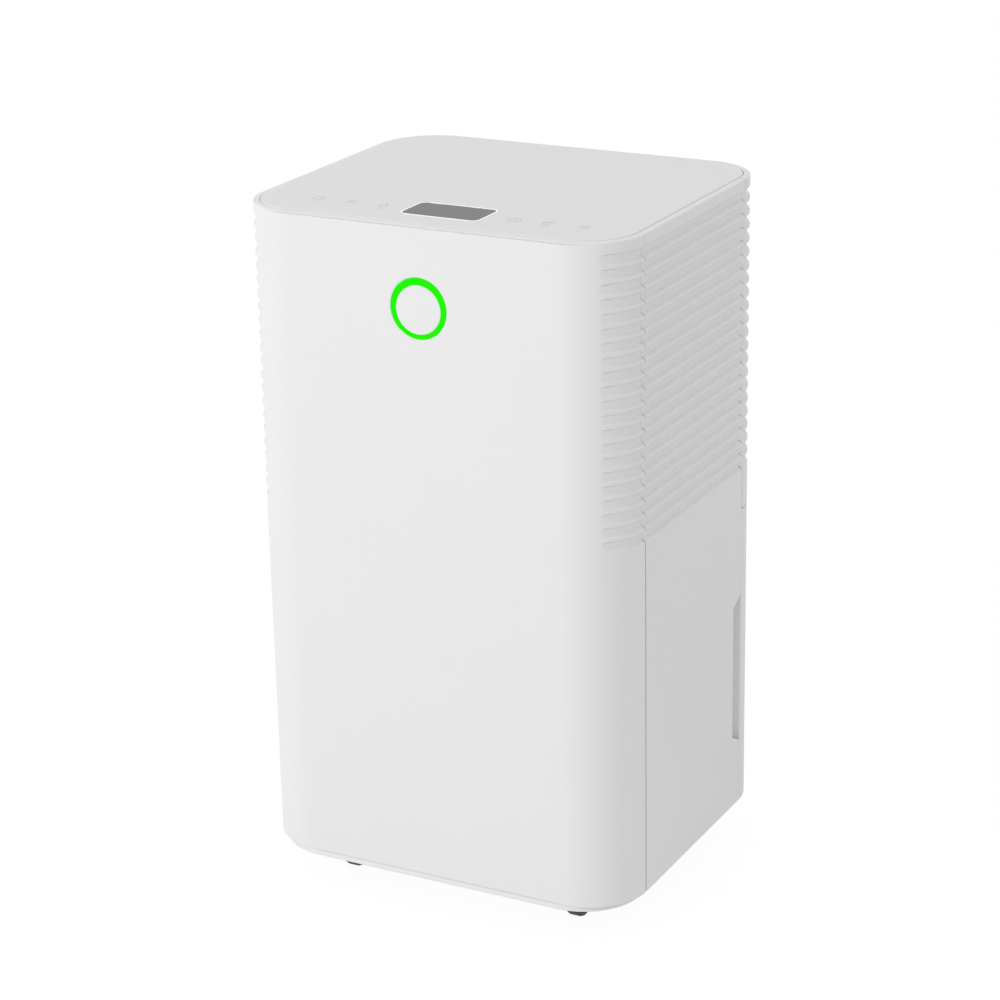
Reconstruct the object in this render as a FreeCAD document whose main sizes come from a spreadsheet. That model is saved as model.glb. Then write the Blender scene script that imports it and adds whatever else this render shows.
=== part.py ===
import FreeCAD, Part
import os
import Sketcher
from FreeCAD import Rotation, Vector

# A compressor dehumidifier on four castors.  The frame is +Z up with the origin on the floor under
# the middle of the body.  The front, with its ring lamp, faces -Y; the water tank draws out to +Y.

document = FreeCAD.newDocument("dehumidifier")
sheet = document.addObject("Spreadsheet::Sheet", "dims")

DRIVING_SIZES = [
    # The body as a whole
    ("body_width", 300), ("body_depth", 258), ("total_height", 521), ("corner_radius", 45),
    ("castor_lift", 27.5),
    # How far a cut reaches past the faces it opens, and how far joined bodies sink into each other
    ("overrun", 1),
    # Shells
    ("side_wall", 6), ("front_wall", 2.5), ("inner_radius", 41.5), ("front_seam_gap", 1),
    ("rear_seam_gap", 0.4), ("base_edge", 2.4), ("hem_gap", 2), ("fit_gap", 0.3), ("top_band", 9.5),
    # Grooves round the upper body, and the vents hidden under their lips
    ("groove_count", 21), ("groove_pitch", 10.11), ("groove_depth", 3.3), ("groove_flat", 6.1),
    ("groove_ramp", 1.8), ("groove_arc", 52.5), ("groove_turn", 60), ("vent_height", 1.8),
    ("vent_length", 22), ("vent_pitch", 26), ("vent_count", 6),
    # Finger notches at the rear edge of the side panels
    ("notch_low", 81), ("notch_high", 202), ("notch_reach", 11), ("notch_slope", 10),
    # Top plate, display and touch keys
    ("plate_recess", 1), ("plate_thickness", 3), ("frame_height", 11.5), ("frame_wall", 6),
    ("frame_floor", 2.5), ("display_width", 58), ("display_depth", 32), ("window_thickness", 1.5),
    ("window_ledge", 2), ("module_margin", 0.5), ("window_corner", 3), ("board_thickness", 1.6),
    ("board_margin", 6), ("post_radius", 4), ("post_height", 2.5), ("display_inset", 45),
    ("key_first", 51), ("key_pitch", 26.2), ("spring_radius", 4), ("spring_wall", 0.8),
    # Ring lamp
    ("ring_drop", 58.5), ("ring_outer", 21.8), ("ring_inner", 17.4), ("ring_flange", 25),
    ("ring_flange_thickness", 2), ("lamp_height", 1.8), ("lamp_size", 4), ("running_gap", 0.05),
    # Base, bulkhead and deck
    ("lip_height", 14), ("lip_wall", 3), ("rail_x", 66), ("rail_width", 8), ("sheet_thickness", 2.5),
    ("deck_gap", 3.3), ("fitting_room", 20), ("tab_width", 20), ("tab_height", 25),
    # Castors
    ("castor_inset_x", 56), ("castor_inset_y", 41), ("castor_trail", 6), ("wheel_radius", 11),
    ("wheel_width", 12), ("axle_radius", 2), ("axle_boss", 4), ("cheek_gap", 0.3),
    ("cheek_thickness", 2.2), ("swivel_radius", 11), ("swivel_plate", 2.2), ("mount_plate", 1.5),
    ("mount_radius", 13), ("kingpin_radius", 3), ("kingpin_head", 4.5), ("kingpin_head_height", 1),
    ("rivet_head", 6), ("rivet_head_height", 1.4),
    # Water tank
    ("tank_top", 269.7), ("rim_step", 7.7), ("tank_side_gap", 3), ("tank_front", 5), ("tank_wall", 2.8),
    ("tank_floor", 3), ("tank_inner_radius", 36), ("lid_thickness", 2.8), ("ledge_width", 3),
    ("inlet_size", 34), ("level_x", 78), ("level_width", 14), ("level_foot", 38), ("level_head", 26),
    ("level_thickness", 2.4), ("level_ledge", 2),
    # Float in the tank
    ("float_x", 60), ("float_pin_y", 17), ("float_pin_depth", 12), ("float_reach", 60),
    ("float_drop", 28), ("float_width", 38), ("float_length", 30), ("float_height", 18),
    ("float_pin_radius", 1.6), ("float_hub", 4), ("ear_thickness", 3), ("ear_gap", 0.5),
    ("magnet_radius", 4), ("magnet_height", 5),
    # Drip tray and coils
    ("tray_rear_gap", 5), ("tray_side_room", 26), ("tray_height", 13), ("tray_wall", 2),
    ("spout_radius", 6), ("spout_bore", 4.5), ("spout_drop", 8), ("port_boss", 10), ("coil_end_room", 18),
    ("coil_top_gap", 24), ("coil_depth", 20), ("coil_gap", 2), ("fin_count", 24), ("fin_thickness", 0.8),
    ("tube_count", 7), ("tube_radius", 3.5), ("bend_radius", 3), ("tube_overhang", 8),
    # Fan
    ("volute_gap", 17), ("volute_room", 14), ("housing_wall", 2.5), ("housing_lead", 6),
    ("housing_gap", 2), ("blade_chord", 16), ("fan_gap", 5), ("fan_rear_gap", 6), ("blade_count", 30),
    ("blade_thickness", 1.6), ("disc_thickness", 2), ("inlet_lap", 2), ("shaft_radius", 4),
    ("hub_radius", 10), ("hub_length", 18), ("motor_radius", 40), ("motor_length", 42),
    ("motor_flange", 50), ("flange_thickness", 2.5), ("motor_opening", 14), ("duct_height", 84),
    ("duct_gap", 0.6), ("motor_screw_ring", 45), ("screw_radius", 1.6), ("screw_head", 3.5),
    ("screw_head_height", 2),
    # Compressor and refrigerant circuit
    ("bay_front_gap", 8.5), ("bay_rear_gap", 18), ("bush_height", 15.6), ("compressor_height", 166),
    ("shell_shoulder", 14), ("foot_spread", 6), ("foot_tuck", 20), ("foot_margin", 9),
    ("foot_plate", 2.5), ("bush_radius", 9), ("bolt_radius", 3), ("nut_radius", 6), ("nut_height", 4),
    ("terminal_size", 30), ("terminal_height", 22), ("accumulator_side_room", 46),
    ("accumulator_setback", 18), ("accumulator_radius", 19), ("accumulator_gap", 13),
    ("accumulator_lift", 36), ("accumulator_height", 106), ("accumulator_drop", 14), ("pipe_radius", 4),
    ("discharge_side_room", 19), ("discharge_offset", 16), ("discharge_lift", 9),
    ("suction_side_room", 8), ("suction_lift", 21), ("capillary_radius", 1.3), ("drier_side_room", 12),
    ("drier_radius", 9), ("drier_height", 80), ("capillary_side_room", 26), ("capillary_rise", 10),
    # Electrics
    ("box_side_gap", 6), ("box_motor_gap", 10), ("box_depth", 62), ("box_lift", 30.5),
    ("box_top_gap", 25.5), ("box_wall", 2), ("main_board_gap", 6), ("board_clearance", 8),
    ("capacitor_radius", 17),
    # Rear cover fittings
    ("intake_side_gap", 5), ("cup_web", 6), ("intake_top_gap", 5.5), ("grille_depth", 8),
    ("grille_wall", 5), ("slat_count", 17), ("slat_height", 3), ("mesh_thickness", 1.2),
    ("cup_side_gap", 1), ("fitting_lift", 14.5), ("cup_radius", 16), ("cup_depth", 13),
    ("nozzle_radius", 8), ("nozzle_neck", 7.5), ("nozzle_bore", 6), ("nozzle_reach", 9),
    ("plug_length", 14), ("plug_head", 7.5), ("plug_head_height", 2.5), ("gland_radius", 9),
    ("gland_flange", 12), ("gland_flange_height", 2), ("cord_radius", 3.8), ("cover_screw_pitch", 32),
    ("cover_screw_head", 4), ("cover_screw_sink", 1.4), ("cover_boss", 5.5),
]

for row, (alias, value) in enumerate(DRIVING_SIZES, start=1):
    sheet.set(f"A{row}", alias)
    sheet.set(f"B{row}", str(value))
    sheet.setAlias(f"B{row}", alias)
document.recompute()


def size(formula):
    """The number that a formula on the sheet comes to."""
    return float(sheet.evalExpression(str(formula)))


# Planes and lines that several pieces share, as formulas on the sheet.
half_width = "dims.body_width / 2"
half_depth = "dims.body_depth / 2"
seam = "(dims.body_depth / 2 - dims.corner_radius)"
base_top = "(dims.castor_lift + dims.base_edge)"
hem = f"({base_top} + dims.hem_gap)"
inner_x = "(dims.body_width / 2 - dims.side_wall)"
inner_y = "(dims.body_depth / 2 - dims.front_wall)"
inside_x = f"({inner_x} - dims.fit_gap)"
inside_y = f"({inner_y} - dims.fit_gap)"
groove_top = "(dims.total_height - dims.top_band)"
plate_top = "(dims.total_height - dims.plate_recess)"
plate_seat = f"({plate_top} - dims.plate_thickness)"
frame_low = f"({plate_seat} - dims.frame_height)"
cover_low = "(dims.tank_top + dims.rear_seam_gap * 2)"

# Heights and depths that follow from the sizes above and a clearance each.
tank_rim = "(dims.tank_top - dims.rim_step)"
tank_half_width = f"({inner_x} - dims.tank_side_gap)"
ring_height = "(dims.total_height - dims.ring_drop)"
display_y = f"({half_depth} - dims.display_inset)"
deck_height = "(dims.tank_top + dims.deck_gap)"
deck_top = f"({deck_height} + dims.sheet_thickness)"
deck_rear = f"({half_depth} - dims.fitting_room)"
castor_x = f"({half_width} - dims.castor_inset_x)"
castor_y = f"({half_depth} - dims.castor_inset_y)"
level_low = f"({hem} + dims.level_foot)"
level_high = f"({tank_rim} - dims.level_head)"
float_pin_z = f"({tank_rim} - dims.float_pin_depth)"
tray_rear = f"({deck_rear} - dims.tray_rear_gap)"
tray_half_width = f"({inner_x} - dims.tray_side_room)"
coil_half_width = f"({tray_half_width} - dims.coil_end_room)"
coil_low = f"({deck_top} + dims.tray_wall)"
coil_height = f"({frame_low} - dims.coil_top_gap - {coil_low})"
evaporator_y = f"({tray_rear} - dims.tray_wall - dims.coil_depth)"
condenser_y = f"({evaporator_y} - dims.coil_gap - dims.coil_depth)"
tray_front = f"({condenser_y} - dims.coil_gap - dims.tray_wall)"
spout_y = f"(({tray_front} + {tray_rear}) / 2)"
housing_front = "-dims.housing_lead"
housing_rear = f"({tray_front} - dims.housing_gap)"
fan_height = f"(({deck_top} + {frame_low}) / 2)"
volute_radius = f"(({frame_low} - {deck_top}) / 2 - dims.volute_gap)"
fan_radius = f"({volute_radius} - dims.volute_room)"
fan_inner = f"({fan_radius} - dims.blade_chord)"
fan_depth = f"({housing_rear} - {housing_front} - 2 * dims.housing_wall - dims.fan_gap - dims.fan_rear_gap)"
inlet_radius = f"({fan_inner} - dims.inlet_lap)"
compressor_radius = f"(({inner_y} - dims.bay_front_gap - dims.bay_rear_gap) / 2)"
accumulator_x = f"({inner_x} - dims.accumulator_side_room)"
compressor_x = f"({accumulator_x} - dims.accumulator_radius - dims.accumulator_gap - {compressor_radius})"
compressor_y = f"(-(dims.bay_rear_gap + {compressor_radius}))"
compressor_low = f"({base_top} + dims.bush_height + dims.foot_plate)"
foot_x = f"({compressor_radius} + dims.foot_spread)"
foot_y = f"({compressor_radius} - dims.foot_tuck)"
accumulator_y = f"({compressor_y} + dims.accumulator_setback)"
accumulator_low = f"({compressor_low} + dims.accumulator_lift)"
accumulator_foot = f"({accumulator_low} - dims.accumulator_drop)"
discharge_x = f"({inner_x} - dims.discharge_side_room)"
discharge_y = f"({compressor_y} - dims.discharge_offset)"
discharge_level = f"({deck_top} + dims.discharge_lift)"
suction_x = f"({inner_x} - dims.suction_side_room)"
suction_level = f"({deck_top} + dims.suction_lift)"
drier_x = f"({inner_x} - dims.drier_side_room)"
drier_low = f"({deck_top} + dims.box_lift)"
capillary_x = f"({inner_x} - dims.capillary_side_room)"
box_outer = f"({inner_x} - dims.box_side_gap)"
box_inner = "(dims.motor_flange + dims.box_motor_gap)"
box_low = f"({deck_top} + dims.box_lift)"
box_high = f"({frame_low} - dims.box_top_gap)"
main_board_low = f"({box_low} + dims.box_wall + 2 * dims.capacitor_radius + dims.board_clearance)"
fitting_x = f"({half_width} - dims.corner_radius - dims.cup_radius - dims.cup_side_gap)"
fitting_z = f"({deck_top} + dims.fitting_lift)"
cover_screw_x = f"({fitting_x} - dims.cover_screw_pitch)"
intake_half_width = f"({half_width} - dims.corner_radius - dims.intake_side_gap)"
intake_low = f"({fitting_z} + dims.cup_radius + dims.cup_web)"
intake_high = f"({frame_low} - dims.intake_top_gap)"

nodes = []


def keep(item, label):
    """Names a finished sub-part and puts it on the list of pieces to write."""
    item.Label = label
    nodes.append(item)
    return item


def block(name, x, y, z):
    """A box between two planes on each axis, each pair given as (low, high) formulas."""
    item = document.addObject("Part::Box", name)
    for side, axis, (low, high) in (("Length", "x", x), ("Width", "y", y), ("Height", "z", z)):
        item.setExpression(side, f"({high}) - ({low})")
        item.setExpression(f"Placement.Base.{axis}", f"{low}")
    return item


AXIS_TURNS = {
    "x": Rotation(Vector(0, 1, 0), 90),
    "y": Rotation(Vector(1, 0, 0), -90),
    "z": Rotation(),
}


def rod(name, axis, span, centre, radius):
    """A cylinder along one axis from span[0] to span[1]; centre gives the other two coordinates."""
    item = document.addObject("Part::Cylinder", name)
    item.Placement.Rotation = AXIS_TURNS[axis]
    item.setExpression("Radius", f"{radius}")
    item.setExpression("Height", f"({span[1]}) - ({span[0]})")
    across = iter(centre)
    for other in "xyz":
        formula = span[0] if other == axis else next(across)
        item.setExpression(f"Placement.Base.{other}", f"{formula}")
    return item


def fuse(name, parts):
    """One solid from several that meet."""
    item = document.addObject("Part::MultiFuse", name)
    item.Shapes = parts
    item.Refine = True
    return item


def group(name, parts):
    """Several separate solids kept together in one object."""
    item = document.addObject("Part::Compound", name)
    item.Links = parts
    return item


def cut(name, base, tools):
    """The base with every tool taken away."""
    tool = tools[0]
    if len(tools) > 1:
        tool = document.addObject("Part::MultiFuse", f"{name}_tools")
        tool.Shapes = tools
    item = document.addObject("Part::Cut", name)
    item.Base = base
    item.Tool = tool
    item.Refine = True
    return item


def common(name, first, second):
    """The space that two solids share."""
    item = document.addObject("Part::Common", name)
    item.Base = first
    item.Tool = second
    return item


def mirrored(name, source, normal):
    """A mirror copy about a plane through the origin."""
    item = document.addObject("Part::Mirroring", name)
    item.Source = source
    item.Normal = normal
    return item


def rounded_block(name, x, y, z, radius):
    """A box with its four upright edges rounded."""
    (low_x, high_x), (low_y, high_y) = x, y
    parts = [
        block(f"{name}_long", x, (f"{low_y} + {radius}", f"{high_y} - {radius}"), z),
        block(f"{name}_wide", (f"{low_x} + {radius}", f"{high_x} - {radius}"), y, z),
    ]
    for corner_x in (f"{low_x} + {radius}", f"{high_x} - {radius}"):
        for corner_y in (f"{low_y} + {radius}", f"{high_y} - {radius}"):
            parts.append(rod(f"{name}_corner", "z", z, (corner_x, corner_y), radius))
    return fuse(name, parts)


def body_block(name, z, inset="0"):
    """A slice of the body's outline, drawn in by an inset."""
    x = (f"-({half_width} - {inset})", f"({half_width} - {inset})")
    y = (f"-({half_depth} - {inset})", f"({half_depth} - {inset})")
    return rounded_block(name, x, y, z, f"(dims.corner_radius - {inset})")


def inner_block(name, z, inset="0"):
    """A slice of the space inside the shells, drawn in by an inset."""
    x = (f"-({inner_x} - {inset})", f"({inner_x} - {inset})")
    y = (f"-({inner_y} - {inset})", f"({inner_y} - {inset})")
    return rounded_block(name, x, y, z, f"(dims.inner_radius - {inset})")


def new_body(name):
    """An empty PartDesign body that may hold a pattern of separate solids."""
    item = document.addObject("PartDesign::Body", name)
    item.AllowCompound = True
    return item


def origin_feature(body, role):
    """The body's own origin plane or axis with this role."""
    return next(item for item in body.Origin.OriginFeatures if item.Role == role)


def outline(body, plane, points):
    """A sketch on an origin plane: a closed outline whose corners are bound to the sheet."""
    drawing = body.newObject("Sketcher::SketchObject", f"{body.Name}_outline")
    drawing.AttachmentSupport = [(origin_feature(body, plane), "")]
    drawing.MapMode = "FlatFace"
    corners = [Vector(size(u), size(v), 0) for u, v in points]
    lines = [
        drawing.addGeometry(Part.LineSegment(corner, corners[(place + 1) % len(corners)]), False)
        for place, corner in enumerate(corners)
    ]
    for place, line in enumerate(lines):
        drawing.addConstraint(Sketcher.Constraint("Coincident", lines[place - 1], 2, line, 1))
    for line, (u, v), corner in zip(lines, points, corners):
        for kind, formula, value, axis in (("DistanceX", u, corner.x, -2),
                                           ("DistanceY", v, corner.y, -1)):
            if formula == "0":
                drawing.addConstraint(Sketcher.Constraint("PointOnObject", line, 1, axis))
                continue
            index = drawing.addConstraint(Sketcher.Constraint(kind, -1, 1, line, 1, value))
            drawing.setExpression(f"Constraints[{index}]", formula)
    return drawing


def pad(body, drawing, length):
    """The outline given a thickness along its plane's normal."""
    item = body.newObject("PartDesign::Pad", f"{body.Name}_pad")
    item.Profile = drawing
    item.setExpression("Length", f"{length}")
    body.Tip = item
    return item


def revolve(body, drawing, angle="360"):
    """The outline turned about the sketch's own upright axis."""
    item = body.newObject("PartDesign::Revolution", f"{body.Name}_turned")
    item.Profile = drawing
    item.ReferenceAxis = (drawing, ["V_Axis"])
    item.setExpression("Angle", f"{angle}")
    body.Tip = item
    return item


def repeat_along(body, feature, role, spacing, count, backwards=False):
    """A row of copies of a feature along one of the body's own axes."""
    item = body.newObject("PartDesign::LinearPattern", f"{body.Name}_row")
    item.Originals = [feature]
    item.Direction = (origin_feature(body, role), [""])
    item.Reversed = backwards
    item.Mode = "Spacing"
    item.setExpression("Offset", f"{spacing}")
    item.setExpression("Occurrences", f"{count}")
    body.Tip = item
    return item


def repeat_round(body, feature, role, count):
    """A full circle of copies of a feature about one of the body's own axes."""
    item = body.newObject("PartDesign::PolarPattern", f"{body.Name}_ring")
    item.Originals = [feature]
    item.Axis = (origin_feature(body, role), [""])
    item.Angle = 360
    item.setExpression("Occurrences", f"{count}")
    body.Tip = item
    return item


def turned(name, axis, points, x, y, z):
    """A turned piece; points are (radius, distance along the axis) from the place (x, y, z)."""
    item = new_body(name)
    revolve(item, outline(item, "XZ_Plane", points))
    item.Placement.Rotation = AXIS_TURNS[axis]
    for direction, formula in (("x", x), ("y", y), ("z", z)):
        item.setExpression(f"Placement.Base.{direction}", f"{formula}")
    return item


def moved(name, source, x="0", y="0", z="0", turn=None):
    """A copy of a solid, turned about its own Z axis and set in its place."""
    item = group(name, [source])
    if turn is not None:
        item.Placement = FreeCAD.Placement(Vector(), Rotation(Vector(0, 0, 1), size(turn)))
    for axis, formula in (("x", x), ("y", y), ("z", z)):
        item.setExpression(f"Placement.Base.{axis}", f"{formula}")
    return item


# The groove section: a flat wall, then a ramp that rises outwards to the next crest.  The cutter
# runs past the crest so that it leaves the body cleanly.
def groove_section(depth_line, reach):
    """Corners of one groove's section, from the line of its flat wall outwards by a reach."""
    outer = f"({depth_line} + {reach})"
    crease = f"({groove_top} - dims.groove_flat)"
    ramp_end = f"({crease} - dims.groove_ramp * {reach} / dims.groove_depth)"
    return [(depth_line, groove_top), (depth_line, crease), (outer, ramp_end), (outer, groove_top)]


# Corner grooves: one ring-shaped groove turned about the corner's axis, repeated down the body.
# Its flat wall has a wider arc than the corner, so each groove runs out to nothing at the front.
corner_cutter = new_body("corner_cutter")
corner_outline = outline(corner_cutter, "XZ_Plane",
                         groove_section("dims.groove_arc", "(dims.groove_depth * 2)"))
corner_ring = revolve(corner_cutter, corner_outline, "dims.groove_turn")
repeat_along(corner_cutter, corner_ring, "Z_Axis", "dims.groove_pitch", "dims.groove_count", True)

groove_axis_x = f"({half_width} - dims.groove_depth - dims.groove_arc)"


def corner_grooves(name, side_x, side_y):
    """The groove cutters for one corner of the body; side_x and side_y are 1 or -1."""
    turns = {(1, 1): "0", (1, -1): "-dims.groove_turn", (-1, 1): "180 - dims.groove_turn",
             (-1, -1): "180"}
    return moved(name, corner_cutter, f"{side_x} * {groove_axis_x}", f"{side_y} * {seam}", "0",
                 turns[side_x, side_y])


# Front shell: one moulding that wraps both front corners as far as the side seams.
shell_z = (hem, "dims.total_height")
beyond = "dims.body_width"
front_shell = cut("front_shell_solid", body_block("front_blank", shell_z), [
    inner_block("front_inside", (f"{hem} - dims.overrun", "dims.total_height + dims.overrun")),
    block("front_behind", (f"-{beyond}", beyond), (f"-({seam} + dims.front_seam_gap)", beyond),
          (f"{hem} - dims.overrun", "dims.total_height + dims.overrun")),
    rod("ring_hole", "y", (f"-{half_depth} - dims.overrun", f"-{inner_y} + dims.overrun"),
        ("0", ring_height),
        "dims.ring_outer + dims.running_gap * 2"),
    corner_grooves("front_right_grooves", 1, -1),
    corner_grooves("front_left_grooves", -1, -1),
])
keep(front_shell, "front_shell")

# Side panels: the same grooves run straight, with vents under each lip and a finger notch at the rear.
side_front = f"-{seam}"
side_rear = f"({seam} - dims.rear_seam_gap / 2)"
side_cutter = new_body("side_cutter")
side_outline = outline(side_cutter, "XZ_Plane",
                       groove_section(f"({half_width} - dims.groove_depth)", "(dims.groove_depth * 2)"))
side_groove = pad(side_cutter, side_outline, f"2 * {seam} + 2 * dims.front_seam_gap")
side_groove.Midplane = True
repeat_along(side_cutter, side_groove, "Z_Axis", "dims.groove_pitch", "dims.groove_count", True)

vent_cutter = new_body("vent_cutter")
vent_low = f"({groove_top} - dims.vent_height)"
vent_outline = outline(vent_cutter, "XZ_Plane", [
    (f"({inner_x} - dims.overrun)", vent_low),
    (f"({half_width} - dims.groove_depth + dims.overrun)", vent_low),
    (f"({half_width} - dims.groove_depth + dims.overrun)", groove_top),
    (f"({inner_x} - dims.overrun)", groove_top),
])
vent_slot = pad(vent_cutter, vent_outline, "dims.vent_length")
vent_slot.Midplane = True
repeat_along(vent_cutter, vent_slot, "Z_Axis", "dims.groove_pitch", "dims.groove_count", True)
vent_columns = [
    moved("vent_column", vent_cutter,
          y=f"({column} - (dims.vent_count - 1) / 2) * dims.vent_pitch")
    for column in range(int(size("dims.vent_count")))
]

notch_cutter = new_body("notch_cutter")
notch_front = f"({side_rear} - dims.notch_reach)"
notch_outline = outline(notch_cutter, "YZ_Plane", [
    (notch_front, "(dims.notch_low + dims.notch_slope)"),
    (f"({side_rear} + dims.overrun)", "dims.notch_low"),
    (f"({side_rear} + dims.overrun)", "dims.notch_high"),
    (notch_front, "(dims.notch_high - dims.notch_slope)"),
])
pad(notch_cutter, notch_outline, f"{half_width} + dims.overrun")

side_blank = block("side_blank", (inner_x, half_width), (side_front, side_rear), shell_z)
side_panel = cut("side_panel_solid", side_blank,
                 [side_cutter, notch_cutter, group("vents", vent_columns)])
keep(side_panel, "side_panel_right")
keep(mirrored("side_panel_mirror", side_panel, Vector(1, 0, 0)), "side_panel_left")

# Rear cover: wraps both rear corners above the tank, with the air intake in its flat.
cup_floor = "(dims.body_depth / 2 - dims.cup_depth)"
cover_z = (cover_low, "dims.total_height")
cover_front = f"({seam} + dims.rear_seam_gap / 2)"
cover_shell = cut("cover_shell", body_block("cover_blank", cover_z), [
    inner_block("cover_inside", (f"{cover_low} - dims.overrun", "dims.total_height + dims.overrun")),
    block("cover_ahead", (f"-{beyond}", beyond), (f"-{beyond}", cover_front),
          (f"{cover_low} - dims.overrun", "dims.total_height + dims.overrun")),
])
nozzle_spot = (fitting_x, fitting_z)
gland_spot = (f"-{fitting_x}", fitting_z)
frame_middle = f"({frame_low} + dims.frame_height / 2)"
low_screw_spots = [(f"{side} * {cover_screw_x}", fitting_z) for side in (-1, 1)]
high_screw_spots = [(f"{side} * {cover_screw_x}", frame_middle) for side in (-1, 1)]
cover_extras = [
    rod("cover_cup", "y", (f"{cup_floor} - dims.front_wall", f"{inner_y} + dims.overrun"), spot,
        "dims.cup_radius + dims.front_wall")
    for spot in (nozzle_spot, gland_spot)
]
cover_extras += [
    rod("cover_boss", "y", (deck_rear, f"{inner_y} + dims.overrun"), spot, "dims.cover_boss")
    for spot in low_screw_spots
]
screw_seat = f"({half_depth} - dims.cover_screw_sink)"
cover_cuts = [
    block("intake_opening", (f"-{intake_half_width}", intake_half_width),
          (f"{inner_y} - dims.overrun", f"{half_depth} + dims.overrun"), (intake_low, intake_high)),
    corner_grooves("rear_right_grooves", 1, 1),
    corner_grooves("rear_left_grooves", -1, 1),
    rod("nozzle_hole", "y", (f"{cup_floor} - dims.front_wall - dims.overrun",
                             f"{cup_floor} + dims.overrun"), nozzle_spot,
        "dims.nozzle_neck + dims.running_gap"),
    rod("gland_hole", "y", (f"{cup_floor} - dims.front_wall - dims.overrun",
                            f"{cup_floor} + dims.overrun"), gland_spot,
        "dims.gland_radius"),
]
cover_cuts += [
    rod("cup_bore", "y", (cup_floor, f"{half_depth} + dims.overrun"), spot, "dims.cup_radius")
    for spot in (nozzle_spot, gland_spot)
]
for spot in low_screw_spots + high_screw_spots:
    cover_cuts.append(rod("cover_screw_hole", "y", (f"{deck_rear} - dims.overrun", half_depth), spot,
                          "dims.screw_radius"))
    cover_cuts.append(rod("cover_screw_recess", "y", (screw_seat, f"{half_depth} + dims.overrun"), spot,
                          "dims.cover_screw_head + dims.running_gap"))
keep(cut("rear_cover_solid", fuse("cover_with_cups", [cover_shell] + cover_extras), cover_cuts),
     "rear_cover")

# Top frame: a tray inside the shells that carries the plate, the boards and the cover's screws.
frame_tray = cut("frame_tray", inner_block("frame_blank", (frame_low, plate_seat), "dims.fit_gap"), [
    inner_block("frame_pocket", (f"{frame_low} + dims.frame_floor", f"{plate_seat} + dims.overrun"),
                "(dims.fit_gap + dims.frame_wall)"),
])
board_low = f"({frame_low} + dims.frame_floor + dims.post_height)"
board_half_width = "(dims.key_first + dims.key_pitch * 2 + dims.spring_radius * 2)"
board_front = f"-({display_y} + dims.display_depth / 2 + dims.board_margin)"
board_rear = f"-({display_y} - dims.display_depth / 2 - dims.board_margin)"
board_posts = [
    rod("board_post", "z", (f"{frame_low} + dims.frame_floor / 2", board_low), (post_x, post_y),
        "dims.post_radius")
    for post_x in (f"-{board_half_width} + dims.board_margin", f"{board_half_width} - dims.board_margin")
    for post_y in (f"{board_front} + dims.board_margin", f"{board_rear} - dims.board_margin")
]
frame_screw_holes = [
    rod("frame_screw_hole", "y", (f"{inside_y} - dims.frame_wall - dims.overrun", half_depth), spot,
        "dims.screw_radius")
    for spot in high_screw_spots
]
keep(cut("top_frame_solid", fuse("frame_with_posts", [frame_tray] + board_posts), frame_screw_holes),
     "top_frame")

# Top plate with a stepped opening for the display window.
display_x = ("-dims.display_width / 2", "dims.display_width / 2")
display_span = (f"-({display_y} + dims.display_depth / 2)", f"-({display_y} - dims.display_depth / 2)")
window_low = f"({plate_top} - dims.window_thickness)"
plate_blank = inner_block("plate_blank", (plate_seat, plate_top), "(dims.fit_gap + dims.running_gap * 4)")
plate_cuts = [
    rounded_block("window_recess", display_x, display_span, (window_low, f"{plate_top} + dims.overrun"),
                  "dims.window_corner"),
    rounded_block("window_opening", (f"{display_x[0]} + dims.window_ledge",
                                     f"{display_x[1]} - dims.window_ledge"),
                  (f"{display_span[0]} + dims.window_ledge", f"{display_span[1]} - dims.window_ledge"),
                  (f"{plate_seat} - dims.overrun", plate_top), "dims.window_corner / 2"),
]
keep(cut("top_plate_solid", plate_blank, plate_cuts), "top_plate")
keep(rounded_block("display_window_solid",
                   (f"{display_x[0]} + dims.running_gap", f"{display_x[1]} - dims.running_gap"),
                   (f"{display_span[0]} + dims.running_gap", f"{display_span[1]} - dims.running_gap"),
                   (window_low, plate_top), "dims.window_corner"), "display_window")

# Control board under the plate, with the display module and one contact spring per touch key.
board_top = f"({board_low} + dims.board_thickness)"
keep(block("control_board_solid", (f"-{board_half_width}", board_half_width), (board_front, board_rear),
           (board_low, board_top)), "control_board")
module_inset = "(dims.window_ledge + dims.module_margin)"
keep(block("display_module_solid", (f"{display_x[0]} + {module_inset}",
                                    f"{display_x[1]} - {module_inset}"),
           (f"{display_span[0]} + {module_inset}", f"{display_span[1]} - {module_inset}"),
           (board_top, f"{window_low} - dims.fit_gap")), "display_module")
key_springs = []
for side in (-1, 1):
    for place in range(3):
        spot = (f"{side} * (dims.key_first + {place} * dims.key_pitch)", f"-{display_y}")
        coil = rod("key_spring", "z", (board_top, plate_seat), spot, "dims.spring_radius")
        hollow = rod("key_spring_bore", "z", (f"{board_top} - dims.overrun",
                                              f"{plate_seat} + dims.overrun"), spot,
                     "dims.spring_radius - dims.spring_wall")
        key_springs.append(cut("key_spring_tube", coil, [hollow]))
keep(group("touch_springs_group", key_springs), "touch_springs")

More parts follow.
